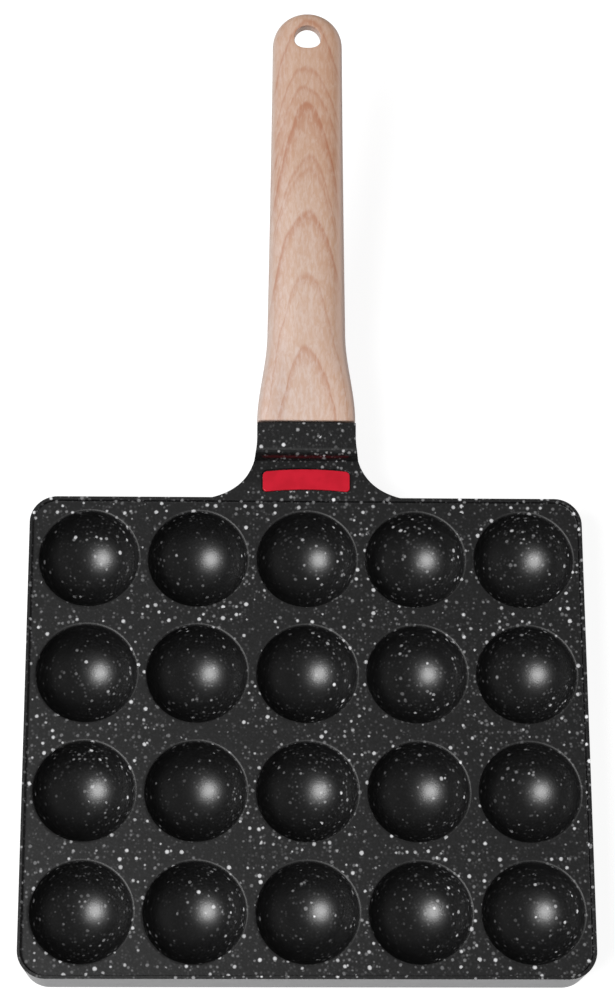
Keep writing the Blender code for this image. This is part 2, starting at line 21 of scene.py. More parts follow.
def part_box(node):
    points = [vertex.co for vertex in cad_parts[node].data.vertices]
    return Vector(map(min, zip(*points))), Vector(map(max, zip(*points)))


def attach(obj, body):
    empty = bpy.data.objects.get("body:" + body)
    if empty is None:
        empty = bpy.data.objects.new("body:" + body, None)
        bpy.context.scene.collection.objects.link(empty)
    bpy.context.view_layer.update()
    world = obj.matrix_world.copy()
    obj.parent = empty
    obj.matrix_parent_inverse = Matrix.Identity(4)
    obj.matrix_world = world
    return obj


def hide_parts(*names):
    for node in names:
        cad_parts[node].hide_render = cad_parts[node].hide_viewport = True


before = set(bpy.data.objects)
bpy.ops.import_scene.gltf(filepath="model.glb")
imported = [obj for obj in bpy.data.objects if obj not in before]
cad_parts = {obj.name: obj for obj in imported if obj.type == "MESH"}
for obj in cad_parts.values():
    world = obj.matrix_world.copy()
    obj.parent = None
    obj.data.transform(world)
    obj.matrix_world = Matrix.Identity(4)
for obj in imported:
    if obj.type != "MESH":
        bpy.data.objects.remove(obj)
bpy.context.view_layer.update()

LOG = logging.getLogger("pan")
MM = 0.001
WELD = 0.001 * MM
OVERRUN = 2.0 * MM


class Surface(IntEnum):
    """The casting's two finishes, by material slot of its mesh."""

    COAT = 0
    PAINT = 1


class Cut(Enum):
    """What a Boolean does with the second shape."""

    TAKE_AWAY = "DIFFERENCE"
    ADD = "UNION"


# Mesh helpers


def mix(first: float, second: float, share: float) -> float:
    """The value a share of the way from the first to the second."""
    return first + (second - first) * share


def ramp_share(share: float, soft: float) -> float:
    """The height share of a straight ramp whose foot and head are rounded over a soft share of its run."""
    steepness = 1.0 / (1.0 - soft)
    if share < soft:
        return steepness * share * share / (2 * soft)
    if share > 1.0 - soft:
        return 1.0 - ramp_share(1.0 - share, soft)
    return steepness * (share - soft / 2)


def spread(start: float, stop: float, count: int) -> list[float]:
    """Evenly spaced values from start to stop, both included."""
    return [mix(start, stop, step / (count - 1)) for step in range(count)]


def arc(
    centre: tuple[float, float], radius: float, start: float, stop: float, steps: int,
) -> list[tuple[float, float]]:
    """Points of a circular arc.

    Args:
        centre: The arc's centre in its own plane.
        radius: The arc's radius.
        start: The first angle in degrees.
        stop: The last angle in degrees.
        steps: How many chords it has.

    Returns:
        The points from start to stop, both included.
    """
    angles = [math.radians(angle) for angle in spread(start, stop, steps + 1)]
    return [(centre[0] + radius * math.cos(angle), centre[1] + radius * math.sin(angle)) for angle in angles]


def block(width: float, length: float, height: float, middle: Iterable[float] = (0, 0, 0)) -> BMesh:
    """A box by its size and its middle."""
    shape = bmesh.new()
    bmesh.ops.create_cube(shape, size=1.0)
    bmesh.ops.scale(shape, vec=(width, length, height), verts=shape.verts)
    bmesh.ops.translate(shape, vec=Vector(middle), verts=shape.verts)
    return shape


def round_off(shape: BMesh, edges: list, width: float, segments: int) -> None:
    """Rounds the given edges of a mesh."""
    bmesh.ops.bevel(
        shape, geom=edges, offset=width, offset_type="OFFSET", segments=segments, profile=0.5,
        affect="EDGES", clamp_overlap=True, material=-1,
    )


def edges_along(shape: BMesh, axis: int, least: float) -> list:
    """The edges that run further than a least length along one axis."""
    return [edge for edge in shape.edges if abs(edge.verts[0].co[axis] - edge.verts[1].co[axis]) > least]


def slice_along(shape: BMesh, axis: int, cuts: int, least: float = 0.5) -> None:
    """Cuts a mesh into even slices across the edges that run along one axis."""
    bmesh.ops.subdivide_edges(shape, edges=edges_along(shape, axis, least), cuts=cuts, use_grid_fill=True)


def turned(
    profile: list[tuple[float, float]], sides: int, closed: bool = False, centre: Iterable[float] = (0, 0, 0),
    shape: BMesh | None = None,
) -> BMesh:
    """Spins a profile round an upright axis.

    Args:
        profile: Points of radius and height, in order.
        sides: How many steps a full turn has.
        closed: Whether the last point joins the first, as on a ring.
        centre: A point of the axis.
        shape: The mesh that the turned shape is added to, or none for a new one.

    Returns:
        The mesh, with its seam and its poles welded.
    """
    shape = shape or bmesh.new()
    centre = Vector(centre)
    corners = [shape.verts.new(centre + Vector((radius, 0, height))) for radius, height in profile]
    chain = [shape.edges.new(pair) for pair in zip(corners, corners[1:])]
    if closed:
        chain.append(shape.edges.new((corners[-1], corners[0])))
    bmesh.ops.spin(
        shape, geom=corners + chain, cent=centre, axis=(0, 0, 1), angle=math.tau, steps=sides, use_merge=True,
    )
    bmesh.ops.remove_doubles(shape, verts=shape.verts, dist=WELD)
    bmesh.ops.recalc_face_normals(shape, faces=shape.faces)
    return shape


def swelled_tube(sides: int, stations: list[float], place: Callable[[float, float], Vector]) -> BMesh:
    """A closed tube along +Y with a ring at each station.

    Args:
        sides: How many sides the tube has.
        stations: Where its rings are.
        place: Gives a vertex its place from its station's number and its angle round the tube.

    Returns:
        The tube, closed at both ends.
    """
    shape = bmesh.new()
    bmesh.ops.create_cone(
        shape, cap_ends=True, cap_tris=False, segments=sides, radius1=1, radius2=1, depth=1,
        matrix=Matrix.Rotation(math.radians(-90), 4, "X") @ Matrix.Translation((0, 0, 0.5)),
    )
    slice_along(shape, 1, len(stations) - 2)
    for vert in shape.verts:
        number = round(vert.co.y * (len(stations) - 1))
        vert.co = place(number, math.atan2(vert.co.z, vert.co.x))
    return shape


def moved(shape: BMesh, matrix: Matrix) -> BMesh:
    """Takes a mesh to another frame, and returns it."""
    bmesh.ops.transform(shape, matrix=matrix, verts=shape.verts)
    return shape


def mesh_of(shape: BMesh, name: str) -> bpy.types.Mesh:
    """The mesh of a shape, which is used up."""
    mesh = bpy.data.meshes.new(name)
    shape.to_mesh(mesh)
    shape.free()
    return mesh


def new_object(name: str, data: Any) -> bpy.types.Object:
    """A scene object, at the origin."""
    item = bpy.data.objects.new(name, data)
    bpy.context.scene.collection.objects.link(item)
    return item


def link_temporary(shape: BMesh, name: str) -> bpy.types.Object:
    """A scene object for a Boolean, with the casting's two slots so that face finishes pass through it."""
    mesh = mesh_of(shape, name)
    for surface in Surface:
        slot_name = f"slot_{surface.name}"
        mesh.materials.append(bpy.data.materials.get(slot_name) or bpy.data.materials.new(slot_name))
    return new_object(name, mesh)


def combined(base: BMesh, steps: list[tuple[Cut, list[BMesh]]]) -> BMesh:
    """Runs Booleans on a closed mesh, one after the other.

    Args:
        base: The mesh that they start from, used up.
        steps: What each one does and the shapes that it does it with, used up.

    Returns:
        The outcome as a new mesh.
    """
    item = link_temporary(base, "base")
    gathered, groups = [], []
    for number, (cut, others) in enumerate(steps):
        group = bpy.data.collections.new(f"tools_{number}")
        groups.append(group)
        for other in others:
            tool = link_temporary(other, "tool")
            group.objects.link(tool)
            gathered.append(tool)
        modifier = item.modifiers.new(f"step_{number}", "BOOLEAN")
        modifier.operation = cut.value
        modifier.solver = "EXACT"
        modifier.operand_type = "COLLECTION"
        modifier.collection = group
    final = item.evaluated_get(bpy.context.evaluated_depsgraph_get())
    outcome = bmesh.new()
    outcome.from_mesh(final.to_mesh())
    final.to_mesh_clear()
    for used in [item, *gathered]:
        mesh = used.data
        bpy.data.objects.remove(used, do_unlink=True)
        bpy.data.meshes.remove(mesh)
    for group in groups:
        bpy.data.collections.remove(group)
    return outcome


def drop_slivers(shape: BMesh) -> None:
    """Welds what a Boolean left all but together, and drops the flat slivers that hang on by a third face."""
    bmesh.ops.remove_doubles(shape, verts=shape.verts, dist=WELD / 10)
    slivers = []
    for face in shape.faces:
        shared_by = [len(edge.link_faces) for edge in face.edges]
        if min(shared_by) == 1 and max(shared_by) > 2:
            slivers.append(face)
    bmesh.ops.delete(shape, geom=slivers, context="FACES")


def tint_faces(shape: BMesh, surface: Surface) -> BMesh:
    """Gives every face of a mesh one of the casting's finishes, and returns the mesh."""
    for face in shape.faces:
        face.material_index = surface
    return shape


def finished_piece(
    name: str, shape: BMesh, sharp_angle: float = 40.0, weighted: bool = False,
) -> bpy.types.Object:
    """Makes the scene object of a finished mesh.

    Args:
        name: The piece's name.
        shape: Its mesh in its final place, used up.
        sharp_angle: Edges that turn by more than this many degrees stay sharp.
        weighted: Whether large flats keep their own shading next to rounded edges.

    Returns:
        The object, at the origin.
    """
    loose = [edge for edge in shape.edges if len(edge.link_faces) != 2]
    mesh = mesh_of(shape, name)
    mesh.shade_smooth()
    mesh.set_sharp_from_angle(angle=math.radians(sharp_angle))
    piece = new_object(name, mesh)
    if weighted:
        modifier = piece.modifiers.new("even flats", "WEIGHTED_NORMAL")
        modifier.mode = "FACE_AREA"
        modifier.weight = 100
        modifier.keep_sharp = True
    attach(piece, "root")
    LOG.info("%s: %d faces, %d open edges", name, len(mesh.polygons), len(loose))
    return piece


# Materials


class Bench:
    """A node tree whose nodes are added one at a time."""

    def __init__(self, tree: bpy.types.NodeTree) -> None:
        """Takes the tree of a material or a world."""
        self.tree = tree

    def node(self, kind: str, inputs: dict[Any, Any], **settings: Any) -> bpy.types.Node:
        """Adds a node.

        Args:
            kind: The node's type.
            inputs: Sockets by name or number, each a plain value or another node's output.
            **settings: The node's own options.

        Returns:
            The node.
        """
        made = self.tree.nodes.new(kind)
        for key, value in settings.items():
            setattr(made, key, value)
        for key, value in inputs.items():
            if isinstance(value, bpy.types.NodeSocket):
                self.tree.links.new(value, made.inputs[key])
            else:
                made.inputs[key].default_value = value
        return made

    def math(self, operation: str, *values: Any, clamp: bool = False) -> bpy.types.NodeSocket:
        """One step of arithmetic on up to three values."""
        made = self.node("ShaderNodeMath", dict(enumerate(values)), operation=operation, use_clamp=clamp)
        return made.outputs[0]

    def vector(self, operation: str, first: Any, second: Any) -> bpy.types.NodeSocket:
        """One step of arithmetic on two places."""
        return self.node("ShaderNodeVectorMath", {0: first, 1: second}, operation=operation).outputs[0]

    def noise(
        self, place: bpy.types.NodeSocket, grain: float, detail: float = 2.0, rough: float = 0.5,
        distortion: float = 0.0,
    ) -> bpy.types.NodeSocket:
        """Soft noise from 0 to 1 whose lumps are about a grain across."""
        made = self.node("ShaderNodeTexNoise", {
            "Vector": place, "Scale": 1.0 / grain, "Detail": detail, "Roughness": rough,
            "Distortion": distortion,
        })
        return made.outputs[0]

    def drift(self, place: bpy.types.NodeSocket, grain: float, detail: float) -> bpy.types.NodeSocket:
        """Three unlike noises from 0 to 1, as a colour."""
        made = self.node("ShaderNodeTexNoise", {"Vector": place, "Scale": 1.0 / grain, "Detail": detail})
        return made.outputs[1]

    def step(
        self, value: Any, low: Any, high: Any, start: float = 0.0, stop: float = 1.0,
    ) -> bpy.types.NodeSocket:
        """A soft step from start to stop as the value goes from low to high."""
        made = self.node("ShaderNodeMapRange", {
            "Value": value, "From Min": low, "From Max": high, "To Min": start, "To Max": stop,
        }, interpolation_type="SMOOTHSTEP")
        return made.outputs[0]

    def band(self, value: Any, limits: tuple[float, float, float, float]) -> bpy.types.NodeSocket:
        """One between the two inner limits and zero past the two outer ones, with soft steps."""
        rise = self.step(value, limits[0], limits[1])
        return self.math("MULTIPLY", rise, self.step(value, limits[2], limits[3], 1.0, 0.0))

    def blend(self, share: Any, first: Any, second: Any, mode: str = "MIX") -> bpy.types.NodeSocket:
        """Two colours mixed by a share."""
        made = self.node("ShaderNodeMix", {0: share, 6: first, 7: second}, data_type="RGBA", blend_type=mode)
        return made.outputs[2]

    def ramp(
        self, value: Any, stops: Iterable[tuple[float, float]], interpolation: str = "LINEAR",
    ) -> bpy.types.NodeSocket:
        """A curve through stops of place and level, as a grey value."""
        made = self.node("ShaderNodeValToRGB", {0: value})
        band = made.color_ramp
        band.interpolation = interpolation
        while len(band.elements) > 1:
            band.elements.remove(band.elements[-1])
        for number, (where, level) in enumerate(stops):
            element = band.elements[0] if number == 0 else band.elements.new(where)
            element.position = where
            element.color = (level, level, level, 1.0)
        return made.outputs[0]

    def split(self, colour: bpy.types.NodeSocket) -> bpy.types.NodeOutputs:
        """The three channels of a colour or a place."""
        return self.node("ShaderNodeSeparateXYZ", {0: colour}).outputs

    def highest(self, *values: Any) -> bpy.types.NodeSocket:
        """The largest of several values."""
        most = values[0]
        for value in values[1:]:
            most = self.math("MAXIMUM", most, value)
        return most


class Recipe(Bench):
    """A material with a Principled shader, and the place on the object that its patterns read."""

    def __init__(self, name: str) -> None:
        """Starts the material."""
        self.material = bpy.data.materials.new(name)
        self.material.use_nodes = True
        super().__init__(self.material.node_tree)
        self.shader = self.tree.nodes["Principled BSDF"]
        self.place = self.tree.nodes.new("ShaderNodeTexCoord").outputs["Object"]

    def set(self, **sockets: Any) -> None:
        """Sets or links the shader's sockets, their names with _ for a blank."""
        for key, value in sockets.items():
            target = self.shader.inputs[key.replace("_", " ").title().replace("Ior", "IOR")]
            if isinstance(value, bpy.types.NodeSocket):
                self.tree.links.new(value, target)
            else:
                target.default_value = value

    def bump(self, height: bpy.types.NodeSocket, distance: float, strength: float = 1.0) -> None:
        """Gives the shader the relief of a height from 0 to 1."""
        made = self.node("ShaderNodeBump", {"Height": height, "Distance": distance, "Strength": strength})
        self.tree.links.new(made.outputs[0], self.shader.inputs["Normal"])


def rgb(red: float, green: float, blue: float) -> tuple[float, float, float, float]:
    """A screen colour from 0 to 255 as the linear colour that a socket takes."""
    def linear(level: float) -> float:
        share = level / 255.0
        return share / 12.92 if share <= 0.04045 else ((share + 0.055) / 1.055) ** 2.4
    return linear(red), linear(green), linear(blue), 1.0


@dataclass(frozen=True)
class SpeckLayer:
    """Round specks of one size class.

    A ball sits in each cell of a jittered grid, and a speck is what the surface cuts from a ball.
    """

    cell: float
    radius: float
    softness: float
    share_kept: float
    dimmest: float
    brightest: float
    shift: float


@dataclass(frozen=True)
class SpeckledCoat:
    """Black non-stick coat with white and grey specks.

    Depths count down from the plate's top. The neck's roughness goes by the share of a reach past the
    plate's edge, and the joint with the grip lies at its end.
    """

    plate_top: float
    plate_edge: float
    base: tuple = rgb(7, 7, 7)
    mottle: tuple = rgb(25, 25, 26)
    speck: tuple = rgb(248, 248, 250)
    roughness: float = 0.35
    lip_roughness: float = 0.56
    lip_depths: tuple = (0.005 * MM, 0.04 * MM, 1.0 * MM, 2.0 * MM)
    wall_roughness: float = 0.20
    wall_depths: tuple = (-0.96 * MM, -0.88 * MM, -0.12 * MM, -0.04 * MM)
    neck_roughness: tuple = (
        (0.0, 0.35), (0.18, 0.35), (0.24, 0.28), (0.47, 0.28), (0.50, 0.20), (0.56, 0.20), (0.59, 0.35),
        (0.62, 0.235), (0.915, 0.235), (0.935, 0.90), (1.00, 0.90),
    )
    neck_reach: float = 32.0 * MM
    specular: float = 0.70
    fewer_in_cups: float = 0.30
    cup_depths: tuple = (0.3 * MM, 2.0 * MM)
    least_radius_share: float = 0.4
    dimness: float = 1.6
    patch_grain: float = 30.0 * MM
    patch_limits: tuple = (0.35, 0.65, 0.18, -0.12)
    mottle_grain: float = 0.9 * MM
    mottle_limits: tuple = (0.42, 0.72)
    wobble_grain: float = 1.4 * MM
    wobble: float = 0.35 * MM
    relief_grain: float = 0.8 * MM
    relief: float = 0.04 * MM
    layers: tuple = (
        SpeckLayer(3.0 * MM, 0.80 * MM, 0.32 * MM, 0.47, 0.20, 0.98, 0.0),
        SpeckLayer(2.2 * MM, 0.70 * MM, 0.29 * MM, 0.56, 0.06, 0.34, 3.0),
        SpeckLayer(1.6 * MM, 0.56 * MM, 0.28 * MM, 0.86, 0.015, 0.09, 7.0),
    )

    def layer(
        self, recipe: Recipe, place: bpy.types.NodeSocket, sparse: bpy.types.NodeSocket, layer: SpeckLayer,
    ) -> bpy.types.NodeSocket:
        """One layer's strength.

        Args:
            recipe: The material.
            place: The place on the object, already wobbled.
            sparse: How much of the specks is left out here, from 0 to 1.
            layer: The specks' sizes.

        Returns:
            The share of speck colour, from 0 to 1.
        """
        shifted = recipe.vector("ADD", place, (layer.shift, 0.0, 0.0))
        cells = recipe.node("ShaderNodeTexVoronoi", {"Vector": shifted, "Scale": 1.0 / layer.cell})
        lots = recipe.split(cells.outputs["Color"])
        distance = recipe.math("MULTIPLY", cells.outputs["Distance"], layer.cell)
        least = layer.radius * self.least_radius_share
        radius = recipe.math("MULTIPLY_ADD", lots[0], layer.radius - least, least)
        inner = recipe.math("SUBTRACT", radius, layer.softness)
        outer = recipe.math("ADD", radius, layer.softness)
        inside = recipe.step(distance, inner, outer, 1.0, 0.0)
        kept = recipe.math("LESS_THAN", recipe.math("ADD", lots[1], sparse), layer.share_kept)
        mostly_dim = recipe.math("POWER", lots[2], self.dimness)
        light = recipe.math(
            "MULTIPLY_ADD", mostly_dim, layer.brightest - layer.dimmest, layer.dimmest, clamp=True,
        )
        return recipe.math("MULTIPLY", recipe.math("MULTIPLY", inside, kept), light)

    def material(self) -> bpy.types.Material:
        """Builds the coat."""
        recipe = Recipe("speckled_coating")
        drift = recipe.drift(recipe.place, self.wobble_grain, 1.0)
        centred = recipe.vector("SUBTRACT", drift, (0.5, 0.5, 0.5))
        push = recipe.vector("MULTIPLY", centred, (self.wobble, self.wobble, self.wobble))
        place = recipe.vector("ADD", recipe.place, push)
        _, along, height = recipe.split(recipe.place)
        depth = recipe.math("SUBTRACT", self.plate_top, height)
        sparse = recipe.step(depth, *self.cup_depths, 0.0, self.fewer_in_cups)
        patches = recipe.noise(recipe.place, self.patch_grain, 1.0)
        sparse = recipe.math("ADD", sparse, recipe.step(patches, *self.patch_limits))
        strength = recipe.highest(*(self.layer(recipe, place, sparse, layer) for layer in self.layers))
        fine = recipe.noise(recipe.place, self.mottle_grain, 3.0, 0.6)
        mottled = recipe.blend(recipe.step(fine, *self.mottle_limits), self.base, self.mottle)
        past_plate = recipe.math("DIVIDE", recipe.math("SUBTRACT", along, self.plate_edge), self.neck_reach)
        on_plate = recipe.math("LESS_THAN", past_plate, 0.0)
        near_lip = recipe.band(depth, self.lip_depths)
        on_wall = recipe.math("MULTIPLY", recipe.band(depth, self.wall_depths), on_plate)
        rough = recipe.ramp(past_plate, self.neck_roughness)
        rough = recipe.math("MULTIPLY_ADD", near_lip, self.lip_roughness - self.roughness, rough)
        rough = recipe.math("MULTIPLY_ADD", on_wall, self.wall_roughness - self.roughness, rough)
        recipe.set(
            base_color=recipe.blend(strength, mottled, self.speck), specular_ior_level=self.specular,
            roughness=rough,
        )
        recipe.bump(recipe.noise(recipe.place, self.relief_grain, 2.0), self.relief, 0.8)
        return recipe.material


@dataclass(frozen=True)
class Paint:
    """Satin paint in soft clouds of two close tones, with a fine peel."""

    name: str
    tones: tuple
    roughness: float
    cloud_grain: float
    cloud_detail: float
    cloud_rough: float
    cloud_limits: tuple
    peel_grain: float
    peel_share: float
    relief: float
    relief_strength: float
    specular: float = 0.50

    def material(self) -> bpy.types.Material:
        """Builds the paint."""
        recipe = Recipe(self.name)
        clouds = recipe.noise(recipe.place, self.cloud_grain, self.cloud_detail, self.cloud_rough)
        peel = recipe.noise(recipe.place, self.peel_grain)
        smoothest = self.roughness - self.peel_share / 2
        recipe.set(
            base_color=recipe.blend(recipe.step(clouds, *self.cloud_limits), *self.tones),
            roughness=recipe.math("MULTIPLY_ADD", peel, self.peel_share, smoothest),
            specular_ior_level=self.specular,
        )
        recipe.bump(peel, self.relief, self.relief_strength)
        return recipe.material


SKIRT_PAINT = Paint(
    "skirt_paint", (rgb(114, 114, 116), rgb(106, 106, 108)), 0.42, cloud_grain=9.0 * MM, cloud_detail=3.0,
    cloud_rough=0.6, cloud_limits=(0.35, 0.7), peel_grain=0.6 * MM, peel_share=0.12, relief=0.03 * MM,
    relief_strength=0.6,
)
BADGE_ENAMEL = Paint(
    "badge_red", (rgb(190, 20, 41), rgb(202, 24, 46)), 0.32, cloud_grain=5.0 * MM, cloud_detail=2.0,
    cloud_rough=0.5, cloud_limits=(0.3, 0.7), peel_grain=0.35 * MM, peel_share=0.10, relief=0.01 * MM,
    relief_strength=0.5, specular=0.35,
)


@dataclass(frozen=True)
class PrintedWood:
    """Pale wood print on a heat-proof moulding, its arches pointing to the tip.

    A growth line is a level of the station along the grip plus the square of the distance from the
    grain's axis over a bend. The axis runs just under the top face. Lengths here are millimetres in the
    grip's own frame. Each tint is the four values of a step, and then a colour. The tints across the
    grip are painted shade, darker on the right half and on the far left strip, and the colours by
    facing are painted light: a sheen on its left side and fill light on its right.
    """

    root: Vector
    incline: float
    axis_height: float = 8.0
    pale: tuple = rgb(209, 185, 171)
    warm: tuple = rgb(200, 167, 145)
    line: tuple = rgb(176, 121, 92)
    # Painted shade across the grip: the right half warmer and darker, and the far left strip darker.
    painted_shade_across: tuple = (
        ((0.0, 12.0, 0.0, 1.0), (0.97, 0.91, 0.86, 1.0)),
        ((-11.0, -6.0, 1.0, 0.0), (0.92, 0.91, 0.92, 1.0)),
    )
    tints_along: tuple = (
        ((78.0, 112.0, 0.0, 1.0), (0.945, 0.89, 0.84, 1.0)),
        ((0.0, 70.0, 1.0, 0.0), (1.07, 1.12, 1.18, 1.0)),
    )
    # Painted light by facing: a greyish painted sheen on faces turned left, and a pale warm painted fill
    # light on faces turned right.
    painted_side_light: tuple = (
        ((-0.90, -0.45, 0.45, 0.0), rgb(208, 197, 190)),
        ((0.35, 0.80, 0.0, 0.9), rgb(252, 218, 200)),
    )
    roughness: float = 0.50
    specular: float = 0.55
    drift_scales: tuple = (0.09, 0.035, 0.09)
    drift_across: float = 4.0
    drift_along: float = 8.0
    fibre_scales: tuple = (0.85, 0.24, 0.85)
    fibre_limits: tuple = (0.32, 0.68)
    break_limits: tuple = (0.25, 0.6, 0.45, 1.0)
    pore_scales: tuple = (2.2, 0.75, 2.2)
    pore_limits: tuple = (0.58, 0.78)
    line_share: float = 0.90
    pore_share: float = 0.25
    level_reach: float = 200.0
    usual_bend: float = 6.0
    bend_unit: float = 10.0
    bends: tuple = (
        (0.00, 4.2), (0.15, 5.2), (0.30, 4.6), (0.43, 6.2), (0.53, 5.4), (0.655, 4.4), (0.69, 7.6),
        (0.74, 8.0), (0.84, 7.4), (1.00, 8.0),
    )
    lines: tuple = (
        (0.000, 0.10), (0.110, 0.10), (0.134, 0.45), (0.148, 0.75), (0.156, 0.10), (0.280, 0.12),
        (0.302, 0.58), (0.311, 0.08), (0.395, 0.25), (0.4255, 0.90), (0.436, 0.10), (0.495, 0.15),
        (0.517, 0.55), (0.525, 0.20), (0.540, 0.70), (0.548, 0.12), (0.590, 0.30), (0.625, 0.60),
        (0.645, 0.95), (0.6545, 1.00), (0.662, 0.30), (0.682, 0.40), (0.690, 0.75), (0.697, 0.20),
        (0.728, 0.30), (0.736, 0.75), (0.743, 0.10), (0.822, 0.30), (0.836, 0.85), (0.845, 0.10),
    )

    def material(self) -> bpy.types.Material:
        """Builds the print."""
        recipe = Recipe("wood_look_grip")
        local = recipe.node("ShaderNodeMapping", {
            "Vector": recipe.place, "Location": self.root, "Rotation": (self.incline, 0.0, 0.0),
            "Scale": (MM, MM, MM),
        }, vector_type="TEXTURE").outputs[0]

        def drifted(place: bpy.types.NodeSocket, drift: bpy.types.NodeSocket, reach: float) -> Any:
            return recipe.math("ADD", place, recipe.math("MULTIPLY_ADD", drift, reach, -reach / 2))

        drifts = recipe.split(recipe.drift(recipe.vector("MULTIPLY", local, self.drift_scales), 1.0, 3.0))
        place_across, place_along, upward = recipe.split(local)
        across = drifted(place_across, drifts[0], self.drift_across)
        along = drifted(place_along, drifts[1], self.drift_along)
        below = recipe.math("SUBTRACT", upward, self.axis_height)
        off_axis = recipe.math(
            "ADD", recipe.math("MULTIPLY", across, across), recipe.math("MULTIPLY", below, below),
        )
        first = recipe.math("MULTIPLY_ADD", off_axis, 1.0 / self.usual_bend, along)
        bends = [(place, bend / self.bend_unit) for place, bend in self.bends]
        bend = recipe.ramp(recipe.math("DIVIDE", first, self.level_reach), bends, "EASE")
        arched = recipe.math("DIVIDE", off_axis, recipe.math("MULTIPLY", bend, self.bend_unit))
        level = recipe.math("DIVIDE", recipe.math("ADD", along, arched), self.level_reach)
        growth = recipe.ramp(level, self.lines)
        fibres = recipe.noise(recipe.vector("MULTIPLY", local, self.fibre_scales), 1.0, 4.0, 0.62, 0.5)
        pores = recipe.noise(recipe.vector("MULTIPLY", local, self.pore_scales), 1.0)
        pores = recipe.step(pores, *self.pore_limits)
        tone = recipe.blend(recipe.step(fibres, *self.fibre_limits), self.pale, self.warm)
        broken = recipe.math("MULTIPLY", growth, recipe.step(fibres, *self.break_limits))
        tone = recipe.blend(recipe.math("MULTIPLY", broken, self.line_share), tone, self.line)
        tone = recipe.blend(recipe.math("MULTIPLY", pores, self.pore_share), tone, self.line)
        facing = recipe.split(recipe.node("ShaderNodeNewGeometry", {}).outputs["Normal"])[0]
        # Painted shade across the grip, tone along it, and painted light on its sides by facing.
        for value, mode, tints in (
            (place_across, "MULTIPLY", self.painted_shade_across),
            (place_along, "MULTIPLY", self.tints_along),
            (facing, "MIX", self.painted_side_light),
        ):
            for limits, colour in tints:
                tone = recipe.blend(recipe.step(value, *limits), tone, colour, mode)
        recipe.set(
            base_color=tone, roughness=recipe.math("MULTIPLY_ADD", fibres, 0.12, self.roughness - 0.06),
            specular_ior_level=self.specular,
        )
        recipe.bump(fibres, 0.04 * MM, 0.4)
        return recipe.material


@dataclass(frozen=True)
class TurnedSteel:
    """Bare or plated steel with fine tool marks."""

    name: str
    colour: tuple
    roughness: float
    mark_grain: float = 0.5 * MM
    shade_share: float = 0.82

    def material(self) -> bpy.types.Material:
        """Builds the steel."""
        recipe = Recipe(self.name)
        marks = recipe.noise(recipe.place, self.mark_grain, 4.0, 0.7)
        darker = tuple(channel * self.shade_share for channel in self.colour[:3]) + (1.0,)
        recipe.set(
            base_color=recipe.blend(marks, self.colour, darker), metallic=1.0,
            roughness=recipe.math("MULTIPLY_ADD", marks, 0.16, self.roughness - 0.08),
        )
        recipe.bump(marks, 0.01 * MM, 0.4)
        return recipe.material


# Where things are


@dataclass(frozen=True)
class Layout:
    """Heights and stations that the pieces share."""

    plate_y: float
    plate_width: float = 222.0 * MM
    plate_depth: float = 194.0 * MM
    plate_top: float = 23.0 * MM
    rim_height: float = 1.0 * MM
    neck_flat: float = 15.5 * MM
    riser_run: float = 3.4 * MM
    riser_height: float = 5.0 * MM
    boss_length: float = 11.6 * MM
    incline: float = math.radians(14.0)
    root_thickness: float = 21.0 * MM

    @property
    def rim_top(self) -> float:
        """Height of the rim, and of the neck's flat."""
        return self.plate_top + self.rim_height

    @property
    def plate_edge(self) -> float:
        """The plate's far edge, where the neck starts."""
        return self.plate_y + self.plate_depth / 2

    @property
    def riser_start(self) -> Vector:
        """Foot of the step up to the boss."""
        return Vector((0, self.plate_edge + self.neck_flat, self.rim_top))

    @property
    def boss_start(self) -> Vector:
        """Head of the step, where the boss's slope starts."""
        return self.riser_start + Vector((0, self.riser_run, self.riser_height))

    @property
    def along(self) -> Vector:
        """The grip's direction."""
        return Vector((0, math.cos(self.incline), math.sin(self.incline)))

    @property
    def down(self) -> Vector:
        """Square to the grip, towards the stove."""
        return Vector((0, math.sin(self.incline), -math.cos(self.incline)))

    @property
    def root_top(self) -> Vector:
        """Upper edge of the face where the grip meets the boss."""
        return self.boss_start + self.along * self.boss_length

    @property
    def root_centre(self) -> Vector:
        """Middle of that face."""
        return self.root_top + self.down * self.root_thickness / 2

    @property
    def root_bottom(self) -> Vector:
        """Lower edge of that face."""
        return self.root_top + self.down * self.root_thickness

    @property
    def grip_matrix(self) -> Matrix:
        """From the grip's own frame, +Y along it, to the pan's."""
        return Matrix.Translation(self.root_centre) @ Matrix.Rotation(self.incline, 4, "X")


@dataclass(frozen=True)
class BadgeForm:
    """The badge's outline, which its pocket shares."""

    width: float = 35.2 * MM
    depth: float = 8.6 * MM
    arch: float = 1.1 * MM
    corner_radius: float = 1.7 * MM
    thickness: float = 0.9 * MM
    proud: float = 0.2 * MM
    arch_cuts: int = 15
    setback: float = 6.65 * MM
    bed: float = 0.2 * MM

    def bar(self, layout: Layout, grown: float, low: float, high: float, edge_rounding: float = 0.0) -> BMesh:
        """An upright bar with round corners, bowed towards the grip.

        Args:
            layout: Where the plate's far edge is.
            grown: How much wider it is all round than the badge.
            low: Height of its underside.
            high: Height of its top.
            edge_rounding: Rounding of its top edge, or zero for none.

        Returns:
            The bar in its place.
        """
        width = self.width + 2 * grown
        shape = block(width, self.depth + 2 * grown, high - low)
        round_off(shape, edges_along(shape, 2, WELD), self.corner_radius + grown, 8)
        slice_along(shape, 0, self.arch_cuts, width / 2)
        if edge_rounding:
            top = [edge for edge in shape.edges if all(vert.co.z > 0 for vert in edge.verts)
                   and edge.calc_face_angle(0.0) > math.radians(60)]
            round_off(shape, top, edge_rounding, 3)
        for vert in shape.verts:
            vert.co.y += self.arch * (1 - (2 * vert.co.x / width) ** 2)
        middle = (0, layout.plate_edge + self.setback, (low + high) / 2)
        return moved(shape, Matrix.Translation(middle))


# Sub-assemblies


